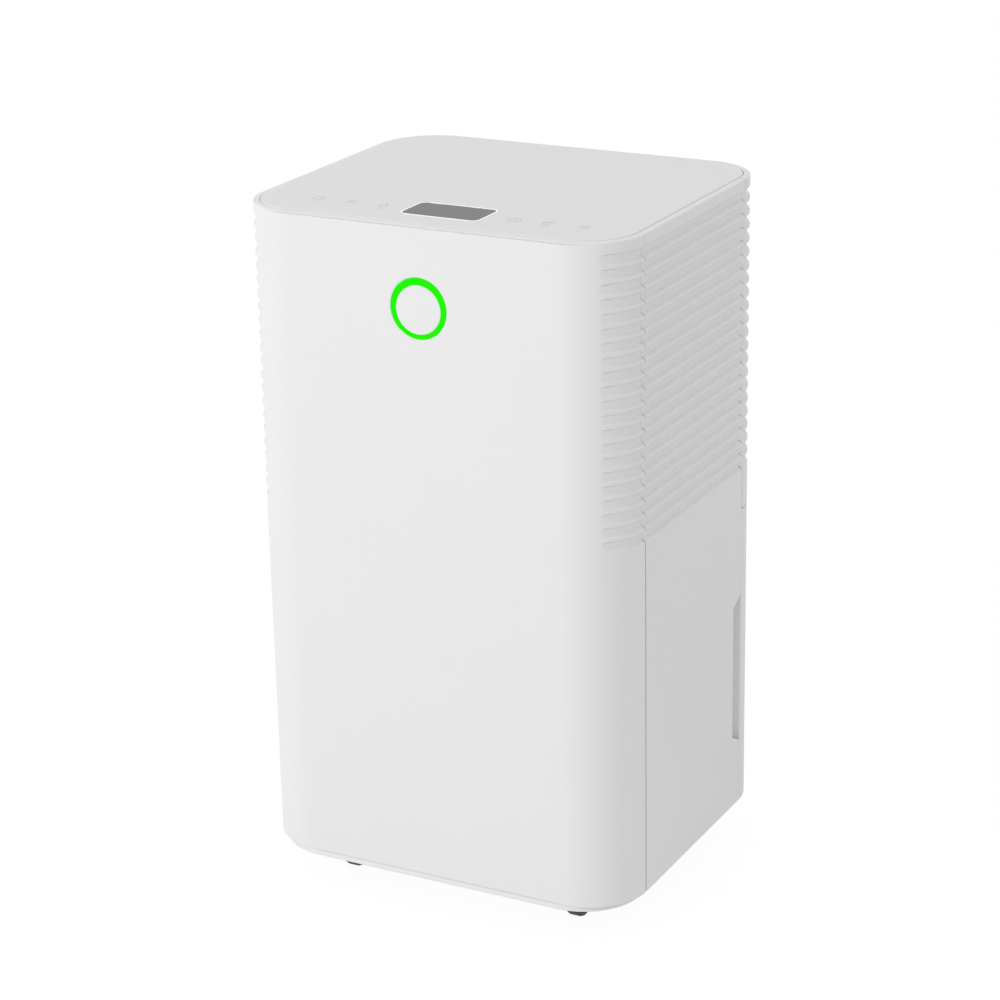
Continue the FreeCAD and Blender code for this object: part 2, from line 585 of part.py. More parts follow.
# Ring lamp: a light guide with a flange behind the shell, a blank centre cap and its lamp board.
ring_depth = "(dims.front_wall + dims.running_gap)"
indicator_ring = turned("indicator_ring_body", "y", [
    ("0", ring_depth), ("dims.ring_inner", ring_depth),
    ("dims.ring_inner", "0"), ("dims.ring_outer", "0"),
    ("dims.ring_outer", ring_depth), ("dims.ring_flange", ring_depth),
    ("dims.ring_flange", f"({ring_depth} + dims.ring_flange_thickness)"),
    ("0", f"({ring_depth} + dims.ring_flange_thickness)"),
], "0", f"-{half_depth}", ring_height)
keep(indicator_ring, "indicator_ring")
keep(rod("indicator_disc_solid", "y", (f"-{half_depth}", f"-{inner_y}"), ("0", ring_height),
         "dims.ring_inner - dims.running_gap"), "indicator_disc")
flange_rear = f"(-{inner_y} + dims.running_gap + dims.ring_flange_thickness)"
lamp_rear = f"({flange_rear} + dims.lamp_height)"
ring_board = rod("ring_board_disc", "y", (lamp_rear, f"{lamp_rear} + dims.board_thickness"),
                 ("0", ring_height), "dims.ring_flange")
ring_lamps = [
    block("ring_lamp", (f"{lamp_x} - dims.lamp_size / 2", f"{lamp_x} + dims.lamp_size / 2"),
          (flange_rear, lamp_rear),
          (f"{lamp_z} - dims.lamp_size / 2", f"{lamp_z} + dims.lamp_size / 2"))
    for lamp_x, lamp_z in [
        (f"dims.ring_inner * cos({turn})", f"{ring_height} + dims.ring_inner * sin({turn})")
        for turn in range(0, 360, 45)
    ]
]
keep(fuse("ring_lamp_board_solid", [ring_board] + ring_lamps), "ring_lamp_board")

# Base: a plate with the body's outline, a locating lip inside the shells ahead of the tank bay, and
# two rails for the tank.
base_plate = body_block("base_plate", ("dims.castor_lift", base_top))
lip_z = (f"{base_top} - dims.overrun", f"{base_top} + dims.lip_height")
base_lip = cut("base_lip", inner_block("lip_blank", lip_z, "dims.fit_gap"), [
    inner_block("lip_inside", (f"{base_top} - 2 * dims.overrun",
                               f"{base_top} + dims.lip_height + dims.overrun"),
                "(dims.fit_gap + dims.lip_wall)"),
    block("lip_behind", (f"-{beyond}", beyond), ("0", beyond),
          (f"{base_top} - 2 * dims.overrun", f"{base_top} + dims.lip_height + dims.overrun")),
])
tank_low = hem
tank_rails = [
    block("tank_rail", (f"{side} * dims.rail_x - dims.rail_width / 2",
                        f"{side} * dims.rail_x + dims.rail_width / 2"),
          ("dims.tank_front", f"{half_depth} - dims.corner_radius / 2"),
          (f"{base_top} - dims.overrun", tank_low))
    for side in (-1, 1)
]
castor_spots = [(f"{side_x} * {castor_x}", f"{side_y} * {castor_y}") for side_y in (-1, 1)
                for side_x in (-1, 1)]
kingpin_holes = [
    rod("kingpin_hole", "z", ("dims.castor_lift - dims.overrun", f"{base_top} + dims.overrun"), spot,
        "dims.kingpin_radius")
    for spot in castor_spots
]
keep(cut("base_solid", fuse("base_blank", [base_plate, base_lip] + tank_rails), kingpin_holes),
     "base_tray")

# Castors: a fixed plate with a riveted kingpin, a swivelling fork with its axle, and a wheel.
mount_low = "(dims.castor_lift - dims.mount_plate)"
fork_top = f"({mount_low} - dims.running_gap)"
fork_under = f"({fork_top} - dims.swivel_plate)"
head_top = f"({fork_under} - dims.running_gap)"
head_low = f"({head_top} - dims.kingpin_head_height)"
castor_plates = [
    turned("castor_plate", "z", [
        ("0", head_low), ("dims.kingpin_head", head_low), ("dims.kingpin_head", head_top),
        ("dims.kingpin_radius", head_top), ("dims.kingpin_radius", mount_low),
        ("dims.mount_radius", mount_low),
        ("dims.mount_radius", "dims.castor_lift"), ("dims.kingpin_radius", "dims.castor_lift"),
        ("dims.kingpin_radius", base_top), ("dims.rivet_head", base_top),
        ("dims.rivet_head", f"({base_top} + dims.rivet_head_height)"),
        ("0", f"({base_top} + dims.rivet_head_height)"),
    ], *spot, "0")
    for spot in castor_spots
]
keep(group("castor_plates_group", castor_plates), "castor_plates")
cheek_inner = "(dims.wheel_width / 2 + dims.cheek_gap)"
cheek_outer = f"({cheek_inner} + dims.cheek_thickness)"
CASTOR_NAMES = ("front_left", "front_right", "rear_left", "rear_right")
for castor, (swivel_x, swivel_y) in zip(CASTOR_NAMES, castor_spots):
    axle_y = f"({swivel_y} + dims.castor_trail)"
    axle_spot = (axle_y, "dims.wheel_radius")
    fork_parts = [rod(f"{castor}_swivel", "z", (fork_under, fork_top), (swivel_x, swivel_y),
                      "dims.swivel_radius")]
    for side in (-1, 1):
        faces = sorted((f"{swivel_x} + {side} * {cheek_inner}", f"{swivel_x} + {side} * {cheek_outer}"),
                       key=size)
        fork_parts.append(block(f"{castor}_cheek", faces,
                                (f"{axle_y} - dims.axle_boss", f"{axle_y} + dims.axle_boss"),
                                ("dims.wheel_radius", fork_top)))
        fork_parts.append(rod(f"{castor}_boss", "x", faces, axle_spot, "dims.axle_boss"))
    axle_span = (f"{swivel_x} - {cheek_outer}", f"{swivel_x} + {cheek_outer}")
    fork = cut(f"{castor}_fork", fuse(f"{castor}_fork_blank", fork_parts), [
        rod(f"{castor}_kingpin_bore", "z", (f"{fork_under} - dims.overrun", f"{fork_top} + dims.overrun"),
            (swivel_x, swivel_y),
            "dims.kingpin_radius + dims.running_gap"),
        rod(f"{castor}_axle_hole", "x", (f"{axle_span[0]} - dims.overrun",
                                         f"{axle_span[1]} + dims.overrun"), axle_spot,
            "dims.axle_radius"),
    ])
    axle = rod(f"{castor}_axle", "x", axle_span, axle_spot, "dims.axle_radius")
    keep(group(f"{castor}_fork_group", [fork, axle]), f"castor_fork_{castor}")
    wheel_span = (f"{swivel_x} - dims.wheel_width / 2", f"{swivel_x} + dims.wheel_width / 2")
    keep(cut(f"{castor}_wheel", rod(f"{castor}_tread", "x", wheel_span, axle_spot, "dims.wheel_radius"), [
        rod(f"{castor}_wheel_bore", "x", (f"{wheel_span[0]} - dims.overrun",
                                          f"{wheel_span[1]} + dims.overrun"), axle_spot,
            "dims.axle_radius + dims.running_gap"),
    ]), f"castor_wheel_{castor}")

# Bulkhead and deck: one sheet part that walls off the tank bay and carries the coils and the fan.
bulkhead_x = (f"-{inside_x}", inside_x)
bulkhead_wall = block("bulkhead_wall", bulkhead_x, ("0", "dims.sheet_thickness"), (base_top, deck_top))
deck_sheet = common("deck_sheet", inner_block("deck_outline", (deck_height, deck_top), "dims.fit_gap"),
                    block("deck_extent", (f"-{beyond}", beyond), ("0", deck_rear),
                          (f"{deck_height} - dims.overrun", f"{deck_top} + dims.overrun")))
deck_tabs = [
    block("deck_tab", (f"{spot[0]} - dims.tab_width / 2", f"{spot[0]} + dims.tab_width / 2"),
          (f"{deck_rear} - dims.sheet_thickness", deck_rear),
          (f"{deck_top} - dims.overrun", f"{deck_top} + dims.tab_height"))
    for spot in low_screw_spots
]
deck_cuts = [
    rod("tab_screw_hole", "y", (f"{deck_rear} - dims.sheet_thickness - dims.overrun",
                                f"{deck_rear} + dims.overrun"), spot,
        "dims.screw_radius")
    for spot in low_screw_spots
]
deck_cuts.append(rod("deck_spout_hole", "z", (f"{deck_height} - dims.overrun",
                                              f"{deck_top} + dims.overrun"), ("0", spout_y),
                     "dims.spout_radius + dims.fit_gap"))
keep(cut("bulkhead_solid", fuse("bulkhead_blank", [bulkhead_wall, deck_sheet] + deck_tabs), deck_cuts),
     "bulkhead")

# Water tank: a drawer whose rear face continues the body, with a reservoir reaching in between the
# side panels, two ears for the float and a window for the water level.
drawer_face = common("drawer_face", body_block("drawer_blank", (tank_low, "dims.tank_top")),
                     block("drawer_extent", (f"-{beyond}", beyond), (cover_front, beyond),
                           (f"{tank_low} - dims.overrun", "dims.tank_top + dims.overrun")))
reservoir_x = (f"-{tank_half_width}", tank_half_width)
reservoir = block("reservoir", reservoir_x, ("dims.tank_front", f"{cover_front} + dims.overrun"),
                  (tank_low, tank_rim))
cavity_rear = f"({half_depth} - dims.tank_wall - dims.ledge_width)"
cavity_x = (f"-({tank_half_width} - dims.tank_wall)", f"({tank_half_width} - dims.tank_wall)")
cavity_front = "(dims.tank_front + dims.tank_wall)"
tank_cavity = rounded_block("tank_cavity", cavity_x, (cavity_front, cavity_rear),
                            (f"{tank_low} + dims.tank_floor", "dims.tank_top + dims.overrun"),
                            "dims.tank_inner_radius")
lid_recess = body_block("lid_recess", (tank_rim, "dims.tank_top + dims.overrun"), "dims.tank_wall")
level_x = ("dims.level_x - dims.level_width / 2", "dims.level_x + dims.level_width / 2")
level_z = (level_low, level_high)
level_front = f"({half_depth} - dims.level_thickness)"
ear_inner = "(dims.float_width / 2 + dims.ear_gap)"
ear_outer = f"({ear_inner} + dims.ear_thickness)"
float_pin_spot = ("dims.float_pin_y", float_pin_z)
float_ears = []
for side in (-1, 1):
    faces = sorted((f"dims.float_x + {side} * {ear_inner}", f"dims.float_x + {side} * {ear_outer}"),
                   key=size)
    float_ears.append(block("float_ear", faces, (f"{cavity_front} - dims.overrun", "dims.float_pin_y"),
                            (f"{float_pin_z} - dims.float_hub", f"{float_pin_z} + dims.float_hub")))
    float_ears.append(rod("float_ear_end", "x", faces, float_pin_spot, "dims.float_hub"))
float_pin_span = (f"dims.float_x - {ear_outer}", f"dims.float_x + {ear_outer}")
tank_shell = cut("tank_shell", fuse("tank_blank", [drawer_face, reservoir]), [
    tank_cavity,
    lid_recess,
    block("level_recess", level_x, (level_front, f"{half_depth} + dims.overrun"), level_z),
    block("level_opening", (f"{level_x[0]} + dims.level_ledge", f"{level_x[1]} - dims.level_ledge"),
          (f"{cavity_rear} - dims.overrun", half_depth),
          (f"{level_z[0]} + dims.level_ledge", f"{level_z[1]} - dims.level_ledge")),
])
keep(cut("water_tank_solid", fuse("tank_with_ears", [tank_shell] + float_ears), [
    rod("float_pin_hole", "x", (f"{float_pin_span[0]} - dims.overrun",
                                f"{float_pin_span[1]} + dims.overrun"), float_pin_spot,
        "dims.float_pin_radius"),
]), "water_tank")
keep(block("level_window_solid", level_x, (level_front, half_depth), level_z), "level_window")
lid_z = (tank_rim, f"({tank_rim} + dims.lid_thickness)")
tank_lid = rounded_block("lid_plate", (f"-({tank_half_width} - dims.fit_gap)",
                                       f"({tank_half_width} - dims.fit_gap)"),
                         ("(dims.tank_front + dims.fit_gap)",
                          f"({half_depth} - dims.tank_wall - dims.fit_gap)"),
                         lid_z, "(dims.tank_inner_radius + dims.tank_wall)")
keep(cut("tank_lid_solid", tank_lid, [
    block("lid_inlet", ("-dims.inlet_size / 2", "dims.inlet_size / 2"),
          (f"{spout_y} - dims.inlet_size / 2", f"{spout_y} + dims.inlet_size / 2"),
          (f"{lid_z[0]} - dims.overrun", f"{lid_z[1]} + dims.overrun")),
]), "tank_lid")

# Float: a block on two arms about a pin between the ears, with a magnet in its top.
float_y = "(dims.float_pin_y + dims.float_reach)"
float_z = f"({float_pin_z} - dims.float_drop)"
float_x = ("dims.float_x - dims.float_width / 2", "dims.float_x + dims.float_width / 2")
float_top = f"({float_z} + dims.float_height / 2)"
float_block = block("float_block", float_x, (f"{float_y} - dims.float_length / 2",
                                             f"{float_y} + dims.float_length / 2"),
                    (f"{float_z} - dims.float_height / 2", float_top))
arm_rise = f"({float_z} - {float_pin_z} + dims.float_height / 4)"
float_arm = new_body("float_arm")
pad(float_arm, outline(float_arm, "YZ_Plane", [
    ("dims.float_pin_y", f"({float_pin_z} - dims.float_hub)"),
    (float_y, f"({float_pin_z} + {arm_rise} - dims.float_hub)"),
    (float_y, f"({float_pin_z} + {arm_rise})"), ("dims.float_pin_y", f"({float_pin_z} + dims.float_hub)"),
]), "dims.float_width").Midplane = True
float_arm.setExpression("Placement.Base.x", "dims.float_x")
magnet_seat = f"({float_top} - dims.magnet_height)"
float_blank = fuse("float_blank", [float_block, float_arm,
                                   rod("float_hub", "x", float_x, float_pin_spot, "dims.float_hub")])
keep(cut("float_solid", float_blank, [
    rod("float_bore", "x", (f"{float_x[0]} - dims.overrun", f"{float_x[1]} + dims.overrun"),
        float_pin_spot,
        "dims.float_pin_radius + dims.running_gap"),
    rod("magnet_pocket", "z", (magnet_seat, f"{float_top} + dims.overrun"), ("dims.float_x", float_y),
        "dims.magnet_radius"),
]), "float")
keep(rod("float_magnet_solid", "z", (magnet_seat, float_top), ("dims.float_x", float_y),
         "dims.magnet_radius"),
     "float_magnet")
keep(rod("float_pin_solid", "x", float_pin_span, float_pin_spot, "dims.float_pin_radius"), "float_pin")
keep(block("sensor_board_solid", float_x, (f"{float_y} - dims.float_length / 4",
                                           f"{float_y} + dims.float_length / 4"),
           (f"{deck_height} - dims.board_thickness", deck_height)), "full_tank_sensor")

# Drip tray under the coils, with a spout into the tank and a port for a hose.
tray_x = (f"-{tray_half_width}", tray_half_width)
tray_top = f"({deck_top} + dims.tray_height)"
tray_blank = fuse("tray_blank", [
    block("tray_box", tray_x, (tray_front, tray_rear), (deck_top, tray_top)),
    block("tray_port_boss", (f"{nozzle_spot[0]} - dims.port_boss", f"{nozzle_spot[0]} + dims.port_boss"),
          (f"{tray_rear} - dims.tray_wall", tray_rear), (deck_top, f"{nozzle_spot[1]} + dims.port_boss")),
    rod("tray_spout", "z", (f"{deck_top} - dims.spout_drop", f"{deck_top} + dims.overrun"),
        ("0", spout_y), "dims.spout_radius"),
])
keep(cut("drip_tray_solid", tray_blank, [
    block("tray_inside", (f"-({tray_half_width} - dims.tray_wall)",
                          f"({tray_half_width} - dims.tray_wall)"),
          (f"{tray_front} + dims.tray_wall", f"{tray_rear} - dims.tray_wall"),
          (f"{deck_top} + dims.tray_wall", f"{tray_top} + dims.overrun")),
    rod("spout_bore", "z", (f"{deck_top} - dims.spout_drop - dims.overrun",
                            f"{deck_top} + dims.tray_wall + dims.overrun"),
        ("0", spout_y), "dims.spout_bore"),
    rod("tray_port", "y", (f"{tray_rear} - dims.tray_wall - dims.overrun", f"{tray_rear} + dims.overrun"),
        nozzle_spot,
        "dims.nozzle_neck"),
]), "drip_tray")

# Coils: stacks of fins on a tube that runs to and fro through them.
tube_pitch = f"({coil_height} / dims.tube_count)"
fin_pitch = f"((2 * {coil_half_width} - dims.fin_thickness) / (dims.fin_count - 1))"
tube_end = f"({coil_half_width} + dims.tube_overhang)"


def tube_height(place):
    """The height of one pass of a coil's tube, counted from the bottom."""
    return f"({coil_low} + ({place} + 0.5) * {tube_pitch})"


def coil(name, front):
    """The fins and the tube of one coil whose front face lies at the given depth."""
    middle = f"({front} + dims.coil_depth / 2)"
    passes = int(size("dims.tube_count"))
    tubes = [
        rod(f"{name}_tube", "x", (f"-{tube_end}", tube_end), (middle, tube_height(place)),
            "dims.tube_radius")
        for place in range(passes)
    ]
    bends = []
    for place in range(passes - 1):
        side = 1 if place % 2 == 0 else -1
        bends.append(rod(f"{name}_bend", "z", (tube_height(place), tube_height(place + 1)),
                         (f"{side} * ({tube_end} - dims.tube_radius)", middle), "dims.bend_radius"))
    keep(fuse(f"{name}_tubes_solid", tubes + bends), f"{name}_tubes")
    blank = block(f"{name}_fin_blank", (f"-{coil_half_width}",
                                        f"-{coil_half_width} + dims.fin_thickness"),
                  (front, f"{front} + dims.coil_depth"),
                  (coil_low, f"{coil_low} + {coil_height}"))
    fin = cut(f"{name}_fin", blank, tubes)
    fins = [moved(f"{name}_fin_copy", fin, x=f"{place} * {fin_pitch}")
            for place in range(int(size("dims.fin_count")))]
    keep(group(f"{name}_fins_group", fins), f"{name}_fins")
    return middle


condenser_middle = coil("condenser", condenser_y)
evaporator_middle = coil("evaporator", evaporator_y)

# Fan housing: a drum round the wheel with a duct to each side panel and an inlet towards the coils.
housing_y = (housing_front, housing_rear)
duct_end = f"({inner_x} - dims.duct_gap)"
housing_inner_y = (f"({housing_front} + dims.housing_wall)", f"({housing_rear} - dims.housing_wall)")
fan_spot = ("0", fan_height)
housing_blank = fuse("housing_blank", [
    rod("drum", "y", housing_y, fan_spot, volute_radius),
    block("duct", (f"-{duct_end}", duct_end), housing_y,
          (f"{fan_height} - dims.duct_height / 2", f"{fan_height} + dims.duct_height / 2")),
])
motor_screw_spots = [
    (f"dims.motor_screw_ring * cos({turn})", f"{fan_height} + dims.motor_screw_ring * sin({turn})")
    for turn in range(45, 360, 90)
]
housing_cuts = [
    rod("drum_inside", "y", housing_inner_y, fan_spot, f"{volute_radius} - dims.housing_wall"),
    block("duct_inside", (f"-({duct_end} + dims.overrun)", f"{duct_end} + dims.overrun"), housing_inner_y,
          (f"{fan_height} - dims.duct_height / 2 + dims.housing_wall",
           f"{fan_height} + dims.duct_height / 2 - dims.housing_wall")),
    rod("housing_inlet", "y", (f"{housing_inner_y[1]} - dims.overrun", f"{housing_y[1]} + dims.overrun"),
        fan_spot, inlet_radius),
    rod("motor_opening", "y", (f"{housing_y[0]} - dims.overrun", f"{housing_inner_y[0]} + dims.overrun"),
        fan_spot, "dims.motor_opening"),
]
housing_cuts += [
    rod("motor_screw_hole", "y", (f"{housing_y[0]} - dims.overrun",
                                  f"{housing_inner_y[0]} + dims.overrun"), spot, "dims.screw_radius")
    for spot in motor_screw_spots
]
keep(cut("fan_housing_solid", housing_blank, housing_cuts), "fan_housing")

# Fan wheel: a back plate with a hub, a ring of blades and a front ring.
fan_front = f"({housing_inner_y[0]} + dims.fan_gap)"
blade_end = f"({fan_depth} - dims.disc_thickness)"
fan_wheel = new_body("fan_wheel_body")
revolve(fan_wheel, outline(fan_wheel, "XZ_Plane", [
    ("dims.shaft_radius", "0"), (fan_radius, "0"), (fan_radius, "dims.disc_thickness"),
    ("dims.hub_radius", "dims.disc_thickness"), ("dims.hub_radius", "dims.hub_length"),
    ("dims.shaft_radius", "dims.hub_length"),
]))
blade_outline = outline(fan_wheel, "XY_Plane", [
    (fan_inner, "-dims.blade_thickness / 2"),
    (f"({fan_radius} - dims.overrun)", "-dims.blade_thickness / 2"),
    (f"({fan_radius} - dims.overrun)", "dims.blade_thickness / 2"),
    (fan_inner, "dims.blade_thickness / 2"),
])
blade = pad(fan_wheel, blade_outline, fan_depth)
repeat_round(fan_wheel, blade, "Z_Axis", "dims.blade_count")
revolve(fan_wheel, outline(fan_wheel, "XZ_Plane", [
    (fan_inner, blade_end), (fan_radius, blade_end), (fan_radius, fan_depth),
    (fan_inner, fan_depth),
]))
fan_wheel.Placement.Rotation = AXIS_TURNS["y"]
fan_wheel.setExpression("Placement.Base.y", fan_front)
fan_wheel.setExpression("Placement.Base.z", fan_height)
keep(fan_wheel, "fan_wheel")

# Motor on the front of the housing, its shaft, and the screws that hold it.
flange_front = f"({housing_front} - dims.flange_thickness)"
motor_front = f"({flange_front} - dims.motor_length)"
fan_motor = turned("fan_motor_body", "y", [
    ("dims.shaft_radius + dims.running_gap", "0"), ("dims.motor_radius", "0"),
    ("dims.motor_radius", "dims.motor_length"),
    ("dims.motor_flange", "dims.motor_length"),
    ("dims.motor_flange", "(dims.motor_length + dims.flange_thickness)"),
    ("dims.shaft_radius + dims.running_gap", "(dims.motor_length + dims.flange_thickness)"),
], "0", motor_front, fan_height)
motor_cuts = [
    rod("flange_screw_hole", "y", (f"{flange_front} - dims.overrun", f"{housing_y[0]} + dims.overrun"),
        spot, "dims.screw_radius")
    for spot in motor_screw_spots
]
keep(cut("fan_motor_solid", fan_motor, motor_cuts), "fan_motor")
keep(rod("motor_shaft_solid", "y", (f"{motor_front} + dims.flange_thickness",
                                    f"{fan_front} + dims.hub_length"), fan_spot,
         "dims.shaft_radius"), "motor_shaft")


def screw(name, tip, seat, spot, head_radius, head_height, forwards):
    """A screw along Y: its tip and the seat of its head, with the head beyond the seat."""
    head_end = f"({seat} + ({forwards}) * {head_height})"
    shank = rod(f"{name}_shank", "y", sorted((tip, seat), key=size), spot, "dims.screw_radius")
    head = rod(f"{name}_head", "y", sorted((seat, head_end), key=size), spot, head_radius)
    return fuse(f"{name}_solid", [shank, head])


motor_screws = [
    screw("motor_screw", housing_inner_y[0], flange_front, spot, "dims.screw_head",
          "dims.screw_head_height", -1)
    for spot in motor_screw_spots
]
keep(group("motor_screws_group", motor_screws), "motor_screws")
cover_screws = [
    screw("low_cover_screw", f"({deck_rear} - dims.sheet_thickness)", screw_seat, spot,
          "dims.cover_screw_head",
          "dims.cover_screw_sink", 1)
    for spot in low_screw_spots
]
cover_screws += [
    screw("high_cover_screw", f"({inside_y} - dims.frame_wall)", screw_seat, spot,
          "dims.cover_screw_head",
          "dims.cover_screw_sink", 1)
    for spot in high_screw_spots
]
keep(group("cover_screws_group", cover_screws), "cover_screws")

# Compressor on a foot plate with four rubber bushes, its bolts and its terminal cover.
compressor = turned("compressor_body", "z", [
    ("0", "0"), (f"({compressor_radius} - dims.shell_shoulder)", "0"),
    (compressor_radius, "dims.shell_shoulder"),
    (compressor_radius, "(dims.compressor_height - dims.shell_shoulder * 1.5)"),
    (f"({compressor_radius} - dims.shell_shoulder * 1.5)", "dims.compressor_height"),
    ("0", "dims.compressor_height"),
], compressor_x, compressor_y, compressor_low)
foot_low = f"({compressor_low} - dims.foot_plate)"
foot_spots = [
    (f"{compressor_x} + {side_x} * {foot_x}", f"{compressor_y} + {side_y} * {foot_y}")
    for side_x in (-1, 1) for side_y in (-1, 1)
]
foot_plate = block("foot_plate", (f"{foot_spots[0][0]} - dims.foot_margin",
                                  f"{foot_spots[2][0]} + dims.foot_margin"),
                   (f"{foot_spots[0][1]} - dims.foot_margin", f"{foot_spots[1][1]} + dims.foot_margin"),
                   (foot_low, compressor_low))
bolt_holes = [
    rod("foot_hole", "z", (f"{foot_low} - dims.overrun", f"{compressor_low} + dims.overrun"), spot,
        "dims.bolt_radius") for spot in foot_spots
]
foot_solid = cut("foot_plate_drilled", foot_plate, bolt_holes)
compressor_with_foot = fuse("compressor_with_foot", [compressor, foot_solid])
keep(compressor_with_foot, "compressor")
bushes = []
bolts = []
bolt_end = f"({compressor_low} + dims.nut_height)"
for spot in foot_spots:
    bush = rod("bush", "z", (base_top, foot_low), spot, "dims.bush_radius")
    bushes.append(cut("bush_ring", bush, [rod("bush_bore", "z",
                                              (f"{base_top} - dims.overrun",
                                               f"{foot_low} + dims.overrun"), spot, "dims.bolt_radius")]))
    shank = rod("bolt_shank", "z", (base_top, bolt_end), spot, "dims.bolt_radius")
    nut = rod("bolt_nut", "z", (compressor_low, bolt_end), spot, "dims.nut_radius")
    bolts.append(fuse("bolt", [shank, nut]))
keep(group("compressor_bushes_group", bushes), "compressor_bushes")
keep(group("compressor_bolts_group", bolts), "compressor_bolts")
compressor_top = f"({compressor_low} + dims.compressor_height)"
terminal_y = (f"{compressor_y} - dims.terminal_size / 2", f"{compressor_y} + dims.terminal_size / 2")
keep(block("terminal_cover_solid", (compressor_x, f"{compressor_x} + dims.terminal_size"), terminal_y,
           (compressor_top, f"{compressor_top} + dims.terminal_height")), "terminal_cover")


def pipe(name, points, radius):
    """A pipe along straight runs between points, each run along one axis, with round elbows."""
    parts = []
    for start, end in zip(points, points[1:]):
        axis = next(place for place in range(3) if start[place] != end[place])
        span = sorted((start[axis], end[axis]), key=size)
        centre = [formula for place, formula in enumerate(start) if place != axis]
        parts.append(rod(f"{name}_run", "xyz"[axis], span, centre, radius))
    for elbow in points[1:-1]:
        ball = document.addObject("Part::Sphere", f"{name}_elbow")
        ball.setExpression("Radius", radius)
        for axis, formula in zip("xyz", elbow):
            ball.setExpression(f"Placement.Base.{axis}", formula)
        parts.append(ball)
    return fuse(f"{name}_solid", parts)


# Refrigerant pipes: discharge to the condenser, capillary through the drier, suction to the accumulator.
top_pass = tube_height("(dims.tube_count - 1)")
low_pass = tube_height("0")
discharge_x0 = f"({compressor_x} - dims.pipe_radius * 3)"
keep(pipe("discharge_pipe", [
    (discharge_x0, discharge_y, compressor_top), (discharge_x0, discharge_y, discharge_level),
    (discharge_x, discharge_y, discharge_level),
    (discharge_x, condenser_middle, discharge_level), (discharge_x, condenser_middle, top_pass),
    (tube_end, condenser_middle, top_pass),
], "dims.pipe_radius"), "discharge_pipe")
accumulator_top = f"({accumulator_low} + dims.accumulator_height)"
keep(pipe("suction_pipe", [
    (tube_end, evaporator_middle, top_pass), (suction_x, evaporator_middle, top_pass),
    (suction_x, evaporator_middle, suction_level),
    (suction_x, accumulator_y, suction_level),
    (accumulator_x, accumulator_y, suction_level),
    (accumulator_x, accumulator_y, accumulator_top),
], "dims.pipe_radius"), "suction_pipe")
accumulator_spot = (accumulator_x, accumulator_y)
accumulator_tail = pipe("accumulator_tail_run", [
    (accumulator_x, accumulator_y, accumulator_low),
    (accumulator_x, accumulator_y, accumulator_foot),
    (compressor_x, accumulator_y, accumulator_foot),
], "dims.pipe_radius")
keep(fuse("accumulator_solid", [
    rod("accumulator_can", "z", (accumulator_low, accumulator_top), accumulator_spot,
        "dims.accumulator_radius"),
    cut("accumulator_tail", accumulator_tail, [compressor_with_foot]),
]), "accumulator")
drier_top = f"({drier_low} + dims.drier_height)"
capillary_level = f"({drier_top} + dims.capillary_rise)"
keep(fuse("filter_drier_solid", [
    pipe("drier_inlet", [
        (f"-{tube_end}", condenser_middle, low_pass), (f"-{drier_x}", condenser_middle, low_pass),
        (f"-{drier_x}", condenser_middle, drier_low),
    ], "dims.tube_radius"),
    rod("drier_can", "z", (drier_low, drier_top), (f"-{drier_x}", condenser_middle), "dims.drier_radius"),
]), "filter_drier")
keep(pipe("capillary_tube", [
    (f"-{drier_x}", condenser_middle, drier_top), (f"-{drier_x}", condenser_middle, capillary_level),
    (f"-{capillary_x}", condenser_middle, capillary_level),
    (f"-{capillary_x}", evaporator_middle, capillary_level),
    (f"-{capillary_x}", evaporator_middle, low_pass), (f"-{tube_end}", evaporator_middle, low_pass),
], "dims.capillary_radius"), "capillary_tube")

# Electrics: a box on the front of the fan housing with its cover, main board and run capacitor.
box_x = (box_inner, box_outer)
box_front = f"({housing_front} - dims.box_depth)"
box_z = (box_low, box_high)
box_blank = block("box_blank", box_x, (box_front, housing_front), box_z)
box_cavity = block("box_cavity", (f"{box_x[0]} + dims.box_wall", f"{box_x[1]} - dims.box_wall"),
                   (f"{box_front} - dims.overrun", f"{housing_front} - dims.box_wall"),
                   (f"{box_z[0]} + dims.box_wall", f"{box_z[1]} - dims.box_wall"))
board_rear_face = f"({housing_front} - dims.main_board_gap)"
main_board_x = (f"{box_x[0]} + dims.box_wall * 2", f"{box_x[1]} - dims.box_wall * 2")
main_board_z = (main_board_low, f"{box_z[1]} - dims.box_wall * 2")
main_posts = [
    rod("main_post", "y", (board_rear_face, f"{housing_front} - dims.box_wall / 2"), (post_x, post_z),
        "dims.post_radius")
    for post_x in (f"{main_board_x[0]} + dims.board_margin", f"{main_board_x[1]} - dims.board_margin")
    for post_z in (f"{main_board_z[0]} + dims.board_margin", f"{main_board_z[1]} - dims.board_margin")
]
keep(fuse("control_box_solid", [cut("box_shell", box_blank, [box_cavity])] + main_posts), "control_box")
keep(block("control_box_cover_solid", box_x, (f"{box_front} - dims.box_wall", box_front), box_z),
     "control_box_cover")
keep(block("main_board_solid", main_board_x, (f"{board_rear_face} - dims.board_thickness",
                                              board_rear_face), main_board_z),
     "main_board")
capacitor_y = f"({housing_front} - dims.box_wall - dims.capacitor_radius)"
capacitor_z = f"({box_z[0]} + dims.box_wall + dims.capacitor_radius)"
keep(rod("run_capacitor_solid", "x", (f"{box_x[0]} + dims.box_wall", f"{box_x[1]} - dims.box_wall"),
         (capacitor_y, capacitor_z), "dims.capacitor_radius"), "run_capacitor")

